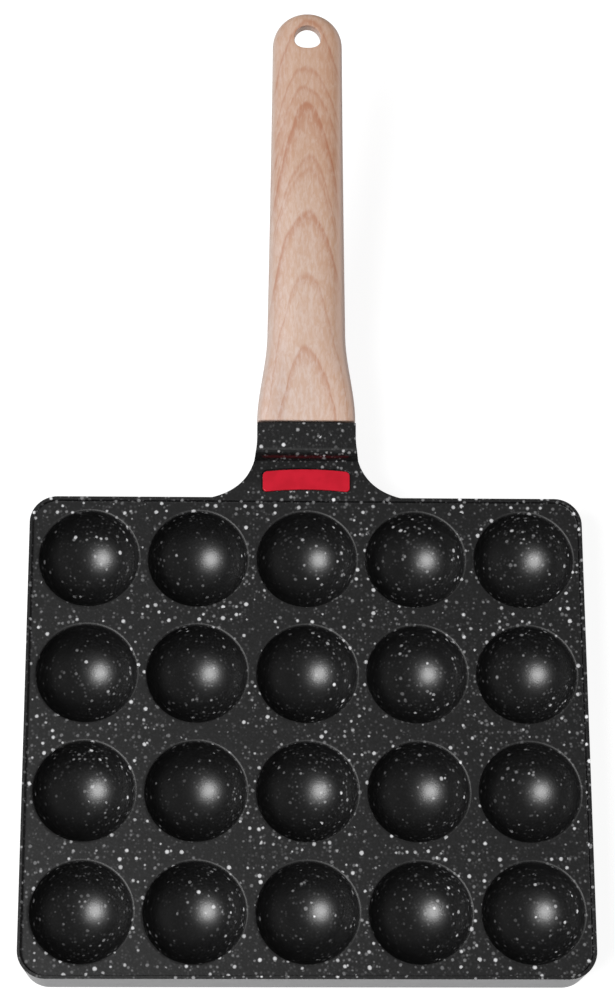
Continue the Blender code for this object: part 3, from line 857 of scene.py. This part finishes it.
@dataclass
class Casting:
    """Plate, rim, cups, skirt, neck, boss and tang, which are poured as one piece."""

    layout: Layout
    badge: BadgeForm
    corner_radius: float = 11.0 * MM
    corner_steps: int = 14
    draft: float = 0.7 * MM
    edge_rounding: float = 0.55 * MM
    edge_steps: int = 6
    end_setback: float = 0.8 * MM
    end_rounding: float = 0.30 * MM
    coat_turn: float = 0.50
    wall_start: float = 1.25 * MM
    wall_end: float = 2.00 * MM
    wall_front: float = 0.42 * MM
    wall_left: float = 0.30 * MM
    wall_softness: float = 0.12
    wall_steps: int = 12
    flat_ring: float = 0.25 * MM
    cup_columns: int = 5
    cup_rows: int = 4
    pitch_across: float = 43.5 * MM
    pitch_along: float = 47.5 * MM
    cup_radius: float = 19.8 * MM
    cup_floor: float = 2.4 * MM
    lip_radius: float = 0.9 * MM
    cup_sides: int = 64
    cup_steps: int = 18
    lip_steps: int = 5
    dome_wall: float = 3.2 * MM
    dome_sides: int = 48
    dome_steps: int = 12
    plate_thickness: float = 3.0 * MM
    skirt_wall: float = 2.6 * MM
    neck_width: float = 39.8 * MM
    flare_reach: float = 18.0 * MM
    flare_length: float = 25.0 * MM
    flare_pulls: tuple = (0.52, 0.10, 0.65)
    flare_points: int = 33
    riser_points: int = 17
    belly_points: int = 13
    outline_turn: float = math.radians(35)
    neck_inner: float = 3.0 * MM
    foot_height: float = 5.0 * MM
    pocket_wall: float = 3.5 * MM
    pocket_roof: float = 4.0 * MM
    pocket_corner: float = 3.0 * MM
    boss_end_wall: float = 8.0 * MM
    riser_foot: float = 0.20 * MM
    riser_crown: float = 1.85 * MM
    badge_clearance: float = 0.6 * MM
    tang_width: float = 26.0 * MM
    tang_thickness: float = 8.0 * MM
    tang_length: float = 32.0 * MM
    tang_lift: float = 1.8 * MM
    tang_rounding: float = 1.5 * MM
    tang_hole_radius: float = 2.3 * MM
    tang_hole_setback: float = 16.0 * MM

    @property
    def cup_centre(self) -> float:
        """Height of the middle of each cup's ball."""
        return self.cup_floor + self.cup_radius

    def cup_places(self) -> list[Vector]:
        """The middle of each cup, at height zero."""
        places = []
        for row in range(self.cup_rows):
            for column in range(self.cup_columns):
                across = (column - (self.cup_columns - 1) / 2) * self.pitch_across
                along = (row - (self.cup_rows - 1) / 2) * self.pitch_along
                places.append(Vector((across, self.layout.plate_y + along, 0)))
        return places

    def rounded_plate(self, inset: float, low: float, high: float, draft: float = 0.0) -> BMesh:
        """An upright block with the plate's outline, drawn in all round.

        Args:
            inset: How far it is drawn in.
            low: Height of its underside.
            high: Height of its top.
            draft: How much further its underside is drawn in.

        Returns:
            The block.
        """
        width = self.layout.plate_width - 2 * inset
        depth = self.layout.plate_depth - 2 * inset
        shape = block(width, depth, high - low, (0, 0, (low + high) / 2))
        round_off(shape, edges_along(shape, 2, WELD), self.corner_radius - inset, self.corner_steps)
        lower = [vert for vert in shape.verts if vert.co.z < (low + high) / 2]
        bmesh.ops.scale(shape, vec=(1 - 2 * draft / width, 1 - 2 * draft / depth, 1), verts=lower)
        bmesh.ops.translate(shape, vec=(0, self.layout.plate_y, 0), verts=shape.verts)
        return shape

    def flare(self) -> np.ndarray:
        """Points of the neck's side from above, as half width and station, from the plate outwards."""
        pull_out, pull_off, pull_back = self.flare_pulls
        half = self.neck_width / 2
        start = Vector((half + self.flare_reach, self.layout.plate_edge))
        stop = Vector((half, self.layout.plate_edge + self.flare_length))
        leave = start + Vector((-pull_out * self.flare_reach, pull_off * self.flare_length))
        arrive = stop - Vector((0, pull_back * self.flare_length))
        curve = interpolate_bezier(start, leave, arrive, stop, self.flare_points)
        return np.array([tuple(point)[:2] for point in curve])

    def neck_top(self) -> np.ndarray:
        """Points of the neck's upper side from the side, as station and height."""
        lay = self.layout
        foot, crown = lay.riser_start, lay.boss_start
        leave = foot + Vector((0, self.riser_foot, 0))
        arrive = crown - lay.along * self.riser_crown
        points = interpolate_bezier(foot, leave, arrive, crown, self.riser_points)
        ends = [lay.root_top, lay.root_top + lay.along * self.cup_radius]
        return np.array([point[1:] for point in points + ends])

    def neck_belly(self) -> np.ndarray:
        """Points of the neck's lower side from the side, as station and height."""
        lay = self.layout
        foot = Vector((0, lay.plate_edge, self.foot_height))
        leave = foot + Vector((0, lay.neck_flat / 2, 0))
        arrive = lay.root_bottom - lay.along * lay.boss_length
        points = interpolate_bezier(foot, leave, arrive, lay.root_bottom, self.belly_points)
        return np.array([point[1:] for point in [*points, lay.root_bottom + lay.along * self.cup_radius]])

    def neck(self) -> BMesh:
        """The neck and boss as a solid, from inside the plate to just past the grip's root."""
        flare, top, belly = self.flare(), self.neck_top(), self.neck_belly()
        last = self.layout.root_bottom.y + OVERRUN
        rows = {round(value, 5) for value in [*flare[:, 1], *top[:, 0], *belly[:, 0]] if value < last - MM}
        stations = sorted(rows | {self.layout.plate_edge - self.neck_inner, last})
        stations = [stations[0]] + [b for a, b in zip(stations, stations[1:]) if b - a > 0.04 * MM]
        shape = bmesh.new()
        bmesh.ops.create_cube(shape, size=1.0)
        slice_along(shape, 1, len(stations) - 2)
        for vert in shape.verts:
            station = stations[round((vert.co.y + 0.5) * (len(stations) - 1))]
            half = float(np.interp(station, flare[:, 1], flare[:, 0]))
            side = top if vert.co.z > 0 else belly
            height = float(np.interp(station, side[:, 0], side[:, 1]))
            vert.co = (math.copysign(half, vert.co.x), station, height)
        return shape

    def body(self) -> BMesh:
        """Plate block and neck in one, with one rounding round the whole upper outline."""
        lay = self.layout
        shape = combined(self.rounded_plate(0.0, 0.0, lay.rim_top, self.draft), [(Cut.ADD, [self.neck()])])
        bmesh.ops.remove_doubles(shape, verts=shape.verts, dist=WELD)

        def is_flat(face: Any) -> bool:
            middle = face.calc_center_median()
            level = face.normal.z > 0.999 and middle.z > lay.rim_top - WELD
            return level and middle.y < lay.riser_start.y

        flats = [face for face in shape.faces if is_flat(face)]
        bmesh.ops.dissolve_faces(shape, faces=flats, use_verts=False)
        end = lay.root_bottom.y + OVERRUN - MM

        def is_outline(edge: Any) -> bool:
            middle = (edge.verts[0].co + edge.verts[1].co) / 2
            turn = edge.calc_face_angle_signed(0.0)
            if len(edge.link_faces) != 2 or turn < self.outline_turn or middle.y > end:
                return False
            upper = middle.z > lay.rim_top - WELD
            run = abs(edge.verts[0].co.y - edge.verts[1].co.y)
            belly = middle.y > lay.plate_edge + WELD and run > WELD
            return upper or belly or middle.z < WELD

        outline = [edge for edge in shape.edges if is_outline(edge)]
        round_off(shape, outline, self.edge_rounding, self.edge_steps)
        bmesh.ops.recalc_face_normals(shape, faces=shape.faces)
        cut = bmesh.ops.bisect_plane(
            shape, geom=shape.verts[:] + shape.edges[:] + shape.faces[:], dist=WELD,
            plane_co=lay.root_centre - lay.along * self.end_setback, plane_no=lay.along, clear_outer=True,
        )
        rim = [item for item in cut["geom_cut"] if isinstance(item, bmesh.types.BMEdge)]
        bmesh.ops.holes_fill(shape, edges=rim, sides=0)
        round_off(shape, rim, self.end_rounding, 3)
        for face in shape.faces:
            high = face.calc_center_median().z > lay.rim_top - WELD
            upper = high and abs(face.normal.x) < self.coat_turn
            riser = upper and face.normal.y < -self.coat_turn
            end = upper and face.normal.z > 0.0 and face.normal.dot(lay.along) > 0.05
            coated = face.normal.z > self.coat_turn or riser or end
            face.material_index = Surface.COAT if coated else Surface.PAINT
        return shape

    def hollow(self) -> BMesh:
        """What the recess and the cups take away: the rim's soft inner wall, the flat and the cups."""
        lay = self.layout
        shape = self.rounded_plate(self.wall_start, lay.rim_top, lay.rim_top + OVERRUN)
        floor = min(shape.faces, key=lambda face: face.calc_center_median().z)
        width = (self.wall_end - self.wall_start) / self.wall_steps
        across = lay.plate_width / 2 - self.corner_radius
        centres = Vector((across, lay.plate_depth / 2 - self.corner_radius))

        def shift(verts: Iterable[BMVert], leftwards: float, forwards: float) -> None:
            for vert in verts:
                off = vert.co.y - lay.plate_y
                past = (max(abs(vert.co.x) - centres.x, 0.0), max(abs(off) - centres.y, 0.0))
                out = Vector(past).normalized()
                vert.co.x -= leftwards * out.x ** 2 if vert.co.x < 0 else 0.0
                vert.co.y -= forwards * out.y ** 2 if off < 0 else 0.0

        shift(shape.verts, self.wall_left, 0.0)
        for step in range(self.wall_steps):
            shares = [ramp_share((step + more) / self.wall_steps, self.wall_softness) for more in (0, 1)]
            bmesh.ops.inset_region(
                shape, faces=[floor], thickness=width, depth=lay.rim_height * (shares[1] - shares[0]),
                use_even_offset=True,
            )
            shift(floor.verts, -self.wall_left / self.wall_steps, self.wall_front / self.wall_steps)
        bmesh.ops.inset_region(
            shape, faces=[floor], thickness=self.flat_ring, depth=0.0, use_even_offset=True,
        )
        bmesh.ops.delete(shape, geom=[floor], context="FACES_ONLY")
        profile = self.cup_profile()
        for place in self.cup_places():
            turned(profile, self.cup_sides, centre=place, shape=shape)
        edges = [edge for edge in shape.edges if edge.is_boundary]
        bmesh.ops.triangle_fill(shape, use_beauty=True, use_dissolve=False, edges=edges, normal=(0, 0, -1))
        bmesh.ops.recalc_face_normals(shape, faces=shape.faces)
        return tint_faces(shape, Surface.COAT)

    def cup_profile(self) -> list[tuple[float, float]]:
        """A cup from the flat, over its rounded lip and down to its pole, as radius and height."""
        top = self.layout.plate_top
        lip_height = top - self.lip_radius
        reach = self.cup_radius + self.lip_radius
        drop = lip_height - self.cup_centre
        lip_middle = math.sqrt(reach ** 2 - drop ** 2)
        turn = math.degrees(math.atan2(drop, lip_middle))
        points = [(lip_middle + self.flat_ring, top)]
        points += arc((lip_middle, lip_height), self.lip_radius, 90, 180 + turn, self.lip_steps)
        points += arc((0, self.cup_centre), self.cup_radius, turn, -90, self.cup_steps)[1:-1]
        return points + [(0, self.cup_floor)]

    def cavity(self) -> BMesh:
        """The open space under the plate, inside the skirt and around the round undersides of the cups."""
        lay = self.layout
        ball = self.cup_radius + self.dome_wall
        flat_turn = -math.degrees(math.asin(self.cup_centre / ball))
        flat_radius = ball * math.cos(math.radians(flat_turn))
        ceiling = lay.plate_top - self.plate_thickness
        profile = [(0, self.cup_centre), *arc((0, self.cup_centre), ball, 0, flat_turn, self.dome_steps)]
        profile += [(flat_radius, -2 * OVERRUN), (0, -2 * OVERRUN)]
        domes = [turned(profile, self.dome_sides, centre=place) for place in self.cup_places()]
        room = self.rounded_plate(self.skirt_wall, -OVERRUN, ceiling, self.draft)
        return tint_faces(combined(room, [(Cut.TAKE_AWAY, domes)]), Surface.PAINT)

    def neck_pocket(self) -> BMesh:
        """The hollow under the neck that keeps its walls thin."""
        lay = self.layout
        near = lay.plate_edge - self.skirt_wall + self.pocket_wall
        far = lay.root_top.y - self.boss_end_wall
        low, high = -OVERRUN, lay.rim_top - self.pocket_roof
        width = self.neck_width - 2 * self.pocket_wall
        shape = block(width, far - near, high - low, (0, (near + far) / 2, (low + high) / 2))
        round_off(shape, edges_along(shape, 2, WELD), self.pocket_corner, 6)
        return tint_faces(shape, Surface.PAINT)

    def tang(self) -> BMesh:
        """The tongue that goes into the grip."""
        buried = self.boss_end_wall / 2
        middle = (0, (self.tang_length - buried) / 2, self.tang_lift)
        shape = block(self.tang_width, self.tang_length + buried, self.tang_thickness, middle)
        round_off(shape, shape.edges[:], self.tang_rounding, 3)
        # The tang takes the dark coat, whose darkness also stands in as painted shade in the slot at the
        # grip's root.
        return tint_faces(moved(shape, self.layout.grip_matrix), Surface.COAT)

    def tang_hole(self) -> BMesh:
        """The screw's hole through the tang."""
        reach = self.tang_thickness
        radius = self.tang_hole_radius
        shape = turned([(0, reach), (radius, reach), (radius, -reach), (0, -reach)], 32)
        place = Matrix.Translation((0, self.tang_hole_setback, self.tang_lift))
        return tint_faces(moved(shape, self.layout.grip_matrix @ place), Surface.PAINT)

    def build(self) -> bpy.types.Object:
        """Makes the casting.

        Returns:
            The finished object, not yet dressed.
        """
        lay, form = self.layout, self.badge
        floor = lay.rim_top + form.proud - form.thickness - form.bed
        badge_pocket = form.bar(lay, self.badge_clearance, floor, lay.rim_top + OVERRUN)
        shape = combined(self.body(), [
            (Cut.ADD, [self.tang()]),
            (Cut.TAKE_AWAY, [self.tang_hole(), self.neck_pocket(), badge_pocket]),
            (Cut.TAKE_AWAY, [self.cavity()]),
            (Cut.TAKE_AWAY, [self.hollow()]),
        ])
        drop_slivers(shape)
        piece = finished_piece("pan_casting", shape, weighted=True)
        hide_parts("griddle_casting")
        return piece

    def dress(self, piece: bpy.types.Object) -> None:
        """Gives the casting its coat above and its paint outside."""
        coat = SpeckledCoat(self.layout.plate_top, self.layout.plate_edge)
        piece.data.materials.append(coat.material())
        piece.data.materials.append(SKIRT_PAINT.material())


@dataclass
class Badge:
    """The bare red plate in its pocket on the neck."""

    layout: Layout
    form: BadgeForm
    edge_rounding: float = 0.35 * MM

    def build(self) -> bpy.types.Object:
        """Makes the badge with softened edges."""
        top = self.layout.rim_top + self.form.proud
        shape = self.form.bar(self.layout, 0.0, top - self.form.thickness, top, self.edge_rounding)
        piece = finished_piece("neck_badge", shape, weighted=True)
        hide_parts("badge")
        return piece

    def dress(self, piece: bpy.types.Object) -> None:
        """Gives the badge its red face."""
        piece.data.materials.append(BADGE_ENAMEL.material())


@dataclass
class Grip:
    """The moulded grip with its hang hole, tang socket and screw well."""

    layout: Layout
    tang: Casting
    length: float = 169.5 * MM
    root_width: float = 39.9 * MM
    waist_width: float = 31.8 * MM
    waist_thickness: float = 18.0 * MM
    tip_width: float = 28.3 * MM
    tip_thickness: float = 9.5 * MM
    taper: float = 1.35
    nose_roundness: float = 2.08
    root_squareness: float = 6.0
    squareness: float = 2.8
    nose_fullness: float = 4.0
    flare_length: float = 36.6 * MM
    root_rounding: float = 0.60 * MM
    sides: int = 88
    hole_width: float = 10.8 * MM
    hole_far: float = 5.6 * MM
    hole_near: float = 3.85 * MM
    hole_setback: float = 11.0 * MM
    hole_fullness: float = 2.4
    hole_rounding: float = 0.4 * MM
    hole_flare: float = 1.6 * MM
    hole_sides: int = 56
    socket_clearance: float = 0.3 * MM
    socket_end: float = 0.8 * MM
    screw_setback: float = 16.0 * MM
    screw_way: float = 2.3 * MM
    seat_wall: float = 2.0 * MM
    well_radius: float = 5.3 * MM

    def stations(self) -> list[float]:
        """Where the grip's rings are: close at the root's edge and round the nose."""
        nose = self.tip_width / 2
        root = [self.root_rounding * step / 4 for step in range(4)]
        body = spread(self.root_rounding, self.length - nose, 64)
        turns = spread(0.0, math.pi / 2, 21)[1:]
        return root + body + [self.length - nose + nose * math.sin(turn) for turn in turns]

    def section(self, station: float) -> tuple[float, float, float]:
        """Half the width, half the thickness and the squareness of the grip at a station."""
        root_thickness = self.layout.root_thickness
        if station < self.flare_length:
            share = station / self.flare_length
            share = share * share * (3 - 2 * share)
            width = mix(self.root_width, self.waist_width, share)
            thickness = mix(root_thickness, self.waist_thickness, share)
            squareness = mix(self.root_squareness, self.squareness, share)
        else:
            share = (station - self.flare_length) / (self.length - self.flare_length)
            width = mix(self.waist_width, self.tip_width, 1 - (1 - share) ** self.taper)
            thickness = mix(self.waist_thickness, self.tip_thickness, share)
            squareness = self.squareness
        nose = self.tip_width / 2
        into_nose = min(max((station - self.length + nose) / nose, 0.0), 1.0)
        width *= (1 - into_nose ** self.nose_roundness) ** (1 / self.nose_roundness)
        thickness *= (1 - into_nose ** self.nose_fullness) ** (1 / self.nose_fullness)
        into_root = max(1 - station / self.root_rounding, 0.0)
        drawn_in = self.root_rounding * (1 - math.sqrt(1 - into_root ** 2))
        return width / 2 - drawn_in, thickness / 2 - drawn_in, squareness

    def surface_height(self, across: float, station: float) -> float:
        """Height of the grip's upper face above its middle at a point from above."""
        half_width, half_thickness, squareness = self.section(station)
        share = min(abs(across) / half_width, 1.0)
        return half_thickness * (1 - share ** squareness) ** (1 / squareness)

    def tube(self) -> BMesh:
        """The grip before anything is cut from it, in its own frame."""
        stations = self.stations()

        def place(number: float, turn: float) -> Vector:
            half_width, half_thickness, squareness = self.section(stations[number])
            across = math.copysign(abs(math.cos(turn)) ** (2 / squareness), math.cos(turn))
            upward = math.copysign(abs(math.sin(turn)) ** (2 / squareness), math.sin(turn))
            return Vector((half_width * across, stations[number], half_thickness * upward))

        shape = swelled_tube(self.sides, stations, place)
        tip = [face for face in shape.faces if len(face.verts) == self.sides and face.calc_area() < WELD]
        bmesh.ops.delete(shape, geom=tip, context="FACES_ONLY")
        bmesh.ops.remove_doubles(shape, verts=shape.verts, dist=WELD)
        bmesh.ops.recalc_face_normals(shape, faces=shape.faces)
        return shape

    def hang_hole(self) -> BMesh:
        """The egg-shaped hole, whose rounded mouths follow the grip's faces."""
        middle = self.length - self.hole_setback
        leans = [math.radians(turn) for turn in spread(0.0, 90.0, 8)]

        def mouth(rounding: float) -> list[tuple[float, float]]:
            curve = [(rounding * (1 - math.sin(lean)), rounding * (1 - math.cos(lean))) for lean in leans]
            return [(rounding, -OVERRUN)] + curve

        upper, lower = mouth(self.hole_rounding), mouth(self.hole_flare)
        count = 2 * len(upper)
        shape = bmesh.new()
        bmesh.ops.create_cone(
            shape, cap_ends=True, cap_tris=False, segments=self.hole_sides, radius1=1, radius2=1, depth=1,
        )
        slice_along(shape, 2, count - 2)
        for vert in shape.verts:
            number = round((0.5 - vert.co.z) * (count - 1))
            growth, depth = upper[number] if number < count / 2 else lower[count - 1 - number]
            reach, power = (self.hole_far, 1.0) if vert.co.y > 0 else (self.hole_near, 2 / self.hole_fullness)
            across = math.copysign(abs(vert.co.x) ** power, vert.co.x) * (self.hole_width / 2 + growth)
            along = middle + math.copysign(abs(vert.co.y) ** power, vert.co.y) * (reach + growth)
            height = self.surface_height(across, along) - depth
            vert.co = (across, along, height if number < count / 2 else -height)
        bmesh.ops.recalc_face_normals(shape, faces=shape.faces)
        return shape

    def socket(self) -> BMesh:
        """The space for the tang, open at the root."""
        tang = self.tang
        length = tang.tang_length + self.socket_end + OVERRUN
        width = tang.tang_width + 2 * self.socket_clearance
        height = tang.tang_thickness + 2 * self.socket_clearance
        shape = block(width, length, height, (0, length / 2 - OVERRUN, tang.tang_lift))
        round_off(shape, edges_along(shape, 1, WELD), tang.tang_rounding, 4)
        return shape

    def build(self) -> bpy.types.Object:
        """Makes the grip with its hole, socket and screw well.

        Returns:
            The finished object, not yet dressed.
        """
        tang = self.tang
        floor = tang.tang_lift - tang.tang_thickness / 2 - self.socket_clearance
        seat = floor - self.seat_wall
        place = (0, self.screw_setback, 0)
        deep = -self.layout.root_thickness

        def bore(radius: float, top: float, low: float, sides: int) -> BMesh:
            return turned([(0, top), (radius, top), (radius, low), (0, low)], sides, centre=place)

        way = bore(self.screw_way, tang.tang_lift, seat - MM, 32)
        well = bore(self.well_radius, seat, deep, 48)
        shape = combined(self.tube(), [
            (Cut.TAKE_AWAY, [self.socket(), self.hang_hole(), well]),
            (Cut.TAKE_AWAY, [way]),
        ])
        drop_slivers(shape)
        piece = finished_piece("wood_look_handle", moved(shape, self.layout.grip_matrix), sharp_angle=35.0)
        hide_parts("handle_grip")
        return piece

    def dress(self, piece: bpy.types.Object) -> None:
        """Gives the grip its printed wood."""
        wood = PrintedWood(self.layout.root_centre, self.layout.incline)
        piece.data.materials.append(wood.material())


@dataclass
class Fastening:
    """The screw under the grip, with its spring washer and its plain washer."""

    layout: Layout
    setback: float = 16.0 * MM
    seat: float = -4.5 * MM
    gap: float = 0.2 * MM
    shank_radius: float = 2.0 * MM
    shank_length: float = 12.0 * MM
    shank_point: float = 0.5 * MM
    head_radius: float = 4.0 * MM
    head_height: float = 3.0 * MM
    head_wall_share: float = 0.45
    recess_width: float = 1.0 * MM
    recess_span: float = 4.4 * MM
    recess_depth: float = 1.8 * MM
    recess_taper: tuple = (0.45, 0.6)
    hole_radius: float = 2.3 * MM
    plain_radius: float = 4.5 * MM
    plain_thickness: float = 0.8 * MM
    spring_radius: float = 3.8 * MM
    spring_thickness: float = 0.9 * MM
    washer_soft_share: float = 0.15
    slit: float = 0.7 * MM
    sides: int = 48

    @property
    def plain_top(self) -> float:
        """Upper face of the plain washer, in the grip's frame."""
        return self.seat - self.gap

    @property
    def spring_top(self) -> float:
        """Upper face of the spring washer."""
        return self.plain_top - self.plain_thickness - self.gap

    @property
    def bearing(self) -> float:
        """Upper face of the screw's head."""
        return self.spring_top - self.spring_thickness - self.gap

    def placed(self, shape: BMesh) -> BMesh:
        """Puts a shape that is made about the screw's axis where it belongs."""
        return moved(shape, self.layout.grip_matrix @ Matrix.Translation((0, self.setback, 0)))

    def ring(self, outer: float, top: float, thickness: float) -> BMesh:
        """A washer with softened edges."""
        soft = thickness * self.washer_soft_share
        low = top - thickness
        profile = [
            (self.hole_radius, top), (outer - soft, top), (outer, top - soft), (outer, low + soft),
            (outer - soft, low), (self.hole_radius, low),
        ]
        return turned(profile, self.sides, closed=True)

    def screw(self) -> bpy.types.Object:
        """Pan head with a tapered cross recess, and a plain shank."""
        end = self.bearing + self.shank_length
        base = self.bearing - self.head_height
        wall = self.head_wall_share
        crown = arc((0, self.bearing - wall * self.head_height), 1.0, 0, -90, 7)
        profile = [
            (0, end), (self.shank_radius - self.shank_point, end),
            (self.shank_radius, end - self.shank_point), (self.shank_radius, self.bearing),
            (self.head_radius, self.bearing),
        ]
        for across, height in crown[:-1]:
            drop = (height - crown[0][1]) * self.head_height * (1 - wall)
            profile.append((self.head_radius * across, mix(self.bearing, base, wall) + drop))
        profile.append((0, base))
        arms = []
        for turn in (0.0, math.pi / 2):
            arm = block(
                self.recess_span, self.recess_width, self.recess_depth + OVERRUN,
                (0, 0, base + self.recess_depth / 2 - OVERRUN / 2),
            )
            inner = [vert for vert in arm.verts if vert.co.z > base]
            bmesh.ops.scale(arm, vec=(*self.recess_taper, 1.0), verts=inner)
            bmesh.ops.rotate(arm, cent=(0, 0, 0), matrix=Matrix.Rotation(turn, 3, "Z"), verts=arm.verts)
            arms.append(arm)
        shape = combined(turned(profile, self.sides), [(Cut.TAKE_AWAY, arms)])
        return finished_piece("grip_screw", self.placed(shape), sharp_angle=32.0)

    def build(self) -> list[bpy.types.Object]:
        """Makes the three pieces.

        Returns:
            The screw, the spring washer and the plain washer, not yet dressed.
        """
        screw = self.screw()
        slit = block(
            self.spring_radius + OVERRUN, self.slit, self.spring_thickness + OVERRUN,
            ((self.spring_radius + OVERRUN) / 2, 0, self.spring_top - self.spring_thickness / 2),
        )
        spring = self.ring(self.spring_radius, self.spring_top, self.spring_thickness)
        spring = combined(spring, [(Cut.TAKE_AWAY, [slit])])
        spring_washer = finished_piece("spring_washer", self.placed(spring), sharp_angle=30.0)
        plain = self.ring(self.plain_radius, self.plain_top, self.plain_thickness)
        flat_washer = finished_piece("flat_washer", self.placed(plain), sharp_angle=30.0)
        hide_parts("handle_screw")
        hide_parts("lock_washer")
        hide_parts("plain_washer")
        return [screw, spring_washer, flat_washer]

    def dress(self, pieces: list[bpy.types.Object]) -> None:
        """Gives each piece its steel."""
        finishes = (
            TurnedSteel("screw_steel", rgb(205, 205, 207), 0.30),
            TurnedSteel("spring_steel", rgb(168, 168, 172), 0.34),
            TurnedSteel("washer_zinc", rgb(198, 200, 203), 0.36),
        )
        for piece, finish in zip(pieces, finishes):
            piece.data.materials.append(finish.material())


@dataclass
class Studio:
    """Floor, lamps and camera."""

    layout: Layout
    floor_radius: float = 14.0
    floor_curl: tuple = ((1.2, 0.15), (1.0, 0.6), (0.6, 1.2))
    floor_glow: float = 0.905
    bright_reach: float = 0.5
    dark_reach: float = 2.0
    floor_colour: tuple = (0.24, 0.24, 0.24, 1.0)
    room_levels: tuple = (
        (0.0, 0.05), (0.14, 0.09), (0.32, 0.36), (0.50, 0.30), (0.68, 0.20), (1.0, 0.185),
    )
    room_lean: float = 0.30
    key_level: float = 0.79
    key_distance: float = 3.0
    key_size: float = 1.69
    key_direction: tuple = (-0.515, -0.266, 0.815)
    eye: tuple = (-29.45 * MM, -272.4 * MM, 1076.0 * MM)
    elevation: float = math.radians(71.04)
    yaw: float = 0.0810619
    roll: float = -0.0824465
    focal_pixels: float = 2820.78
    image_height: float = 1001.0
    sensor: float = 36.0

    def camera(self) -> None:
        """The camera at the photograph's angle, aimed in the pan's own frame."""
        data = bpy.data.cameras.new("camera")
        data.sensor_fit = "AUTO"
        data.sensor_width = self.sensor
        data.lens = self.focal_pixels / self.image_height * self.sensor
        data.clip_end = 100.0
        camera = new_object("camera", data)
        turn = Matrix.Rotation(-self.yaw, 4, "Z")
        turn @= Matrix.Rotation(math.pi / 2 - self.elevation, 4, "X") @ Matrix.Rotation(-self.roll, 4, "Z")
        stand = Vector(self.eye) + Vector((0, self.layout.plate_y, self.layout.plate_top))
        camera.matrix_world = Matrix.Translation(stand) @ turn
        bpy.context.scene.camera = camera

    def floor(self) -> None:
        """A wide floor that curls up far away. It looks white and keeps the object's shadow."""
        shape = bmesh.new()
        bmesh.ops.create_circle(shape, cap_ends=True, segments=96, radius=self.floor_radius)
        disc = shape.faces[:]
        for out, up in self.floor_curl:
            edges = [edge for edge in shape.edges if edge.is_boundary]
            grown = bmesh.ops.extrude_edge_only(shape, edges=edges)["geom"]
            for vert in [item for item in grown if isinstance(item, BMVert)]:
                away = Vector((vert.co.x, vert.co.y, 0)).normalized()
                vert.co += away * out + Vector((0, 0, up))
        bmesh.ops.recalc_face_normals(shape, faces=shape.faces)
        if disc[0].normal.z < 0:
            bmesh.ops.reverse_faces(shape, faces=shape.faces)
        mesh = mesh_of(shape, "floor")
        mesh.shade_smooth()
        floor = new_object("floor", mesh)
        recipe = Recipe("studio_floor")
        recipe.set(base_color=self.floor_colour, roughness=0.9, specular_ior_level=0.0)
        path = recipe.node("ShaderNodeLightPath", {}).outputs
        away = recipe.node("ShaderNodeVectorMath", {0: recipe.place}, operation="LENGTH").outputs["Value"]
        near = recipe.step(away, self.bright_reach, self.dark_reach, 1.0, 0.1)
        mirrored = recipe.math("MULTIPLY", path["Is Glossy Ray"], near)
        seen = recipe.highest(path["Is Camera Ray"], mirrored, path["Is Transmission Ray"])
        glow = recipe.math("MULTIPLY", seen, self.floor_glow)
        recipe.set(emission_color=(1.0, 1.0, 1.0, 1.0), emission_strength=glow)
        mesh.materials.append(recipe.material)

    def lights(self) -> None:
        """One far soft lamp from the left, and a dim room, lightest low on the right, that looks white."""
        world = bpy.data.worlds.new("room")
        world.use_nodes = True
        room = Bench(world.node_tree)
        across, _, up = room.split(room.node("ShaderNodeTexCoord", {}).outputs["Generated"])
        low = room.math("POWER", room.math("SUBTRACT", 1.0, up), 2.0)
        lean = room.math("MULTIPLY", room.math("MULTIPLY", across, self.room_lean), low)
        level = room.math("ADD", room.ramp(up, self.room_levels), lean)
        path = room.node("ShaderNodeLightPath", {}).outputs
        level = room.highest(level, path["Is Camera Ray"], path["Is Transmission Ray"])
        background = world.node_tree.nodes["Background"]
        background.inputs["Color"].default_value = (1.0, 1.0, 1.0, 1.0)
        world.node_tree.links.new(level, background.inputs["Strength"])
        bpy.context.scene.world = world
        direction = Vector(self.key_direction).normalized()
        lamp = bpy.data.lights.new("key", "AREA")
        lamp.shape = "DISK"
        lamp.size = self.key_size
        reach_squared = self.key_distance ** 2 + (self.key_size / 2) ** 2
        lamp.energy = self.key_level * math.pi / direction.z * math.pi * reach_squared
        item = new_object("key", lamp)
        item.location = direction * self.key_distance
        item.rotation_euler = direction.to_track_quat("Z", "Y").to_euler()

    def build(self) -> None:
        """Sets up the whole studio."""
        self.camera()
        self.floor()
        self.lights()
        bpy.context.scene.view_settings.view_transform = "Standard"


def main() -> None:
    """Builds and dresses each sub-assembly, then the studio."""
    logging.basicConfig(level=logging.INFO, format="%(name)s: %(message)s")
    layout = Layout(plate_y=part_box("griddle_casting")[0].y + Layout.plate_depth / 2)
    form = BadgeForm()
    casting = Casting(layout, form)
    for maker in (casting, Badge(layout, form), Grip(layout, casting), Fastening(layout)):
        maker.dress(maker.build())
    Studio(layout).build()


if __name__ == "__main__":
    main()
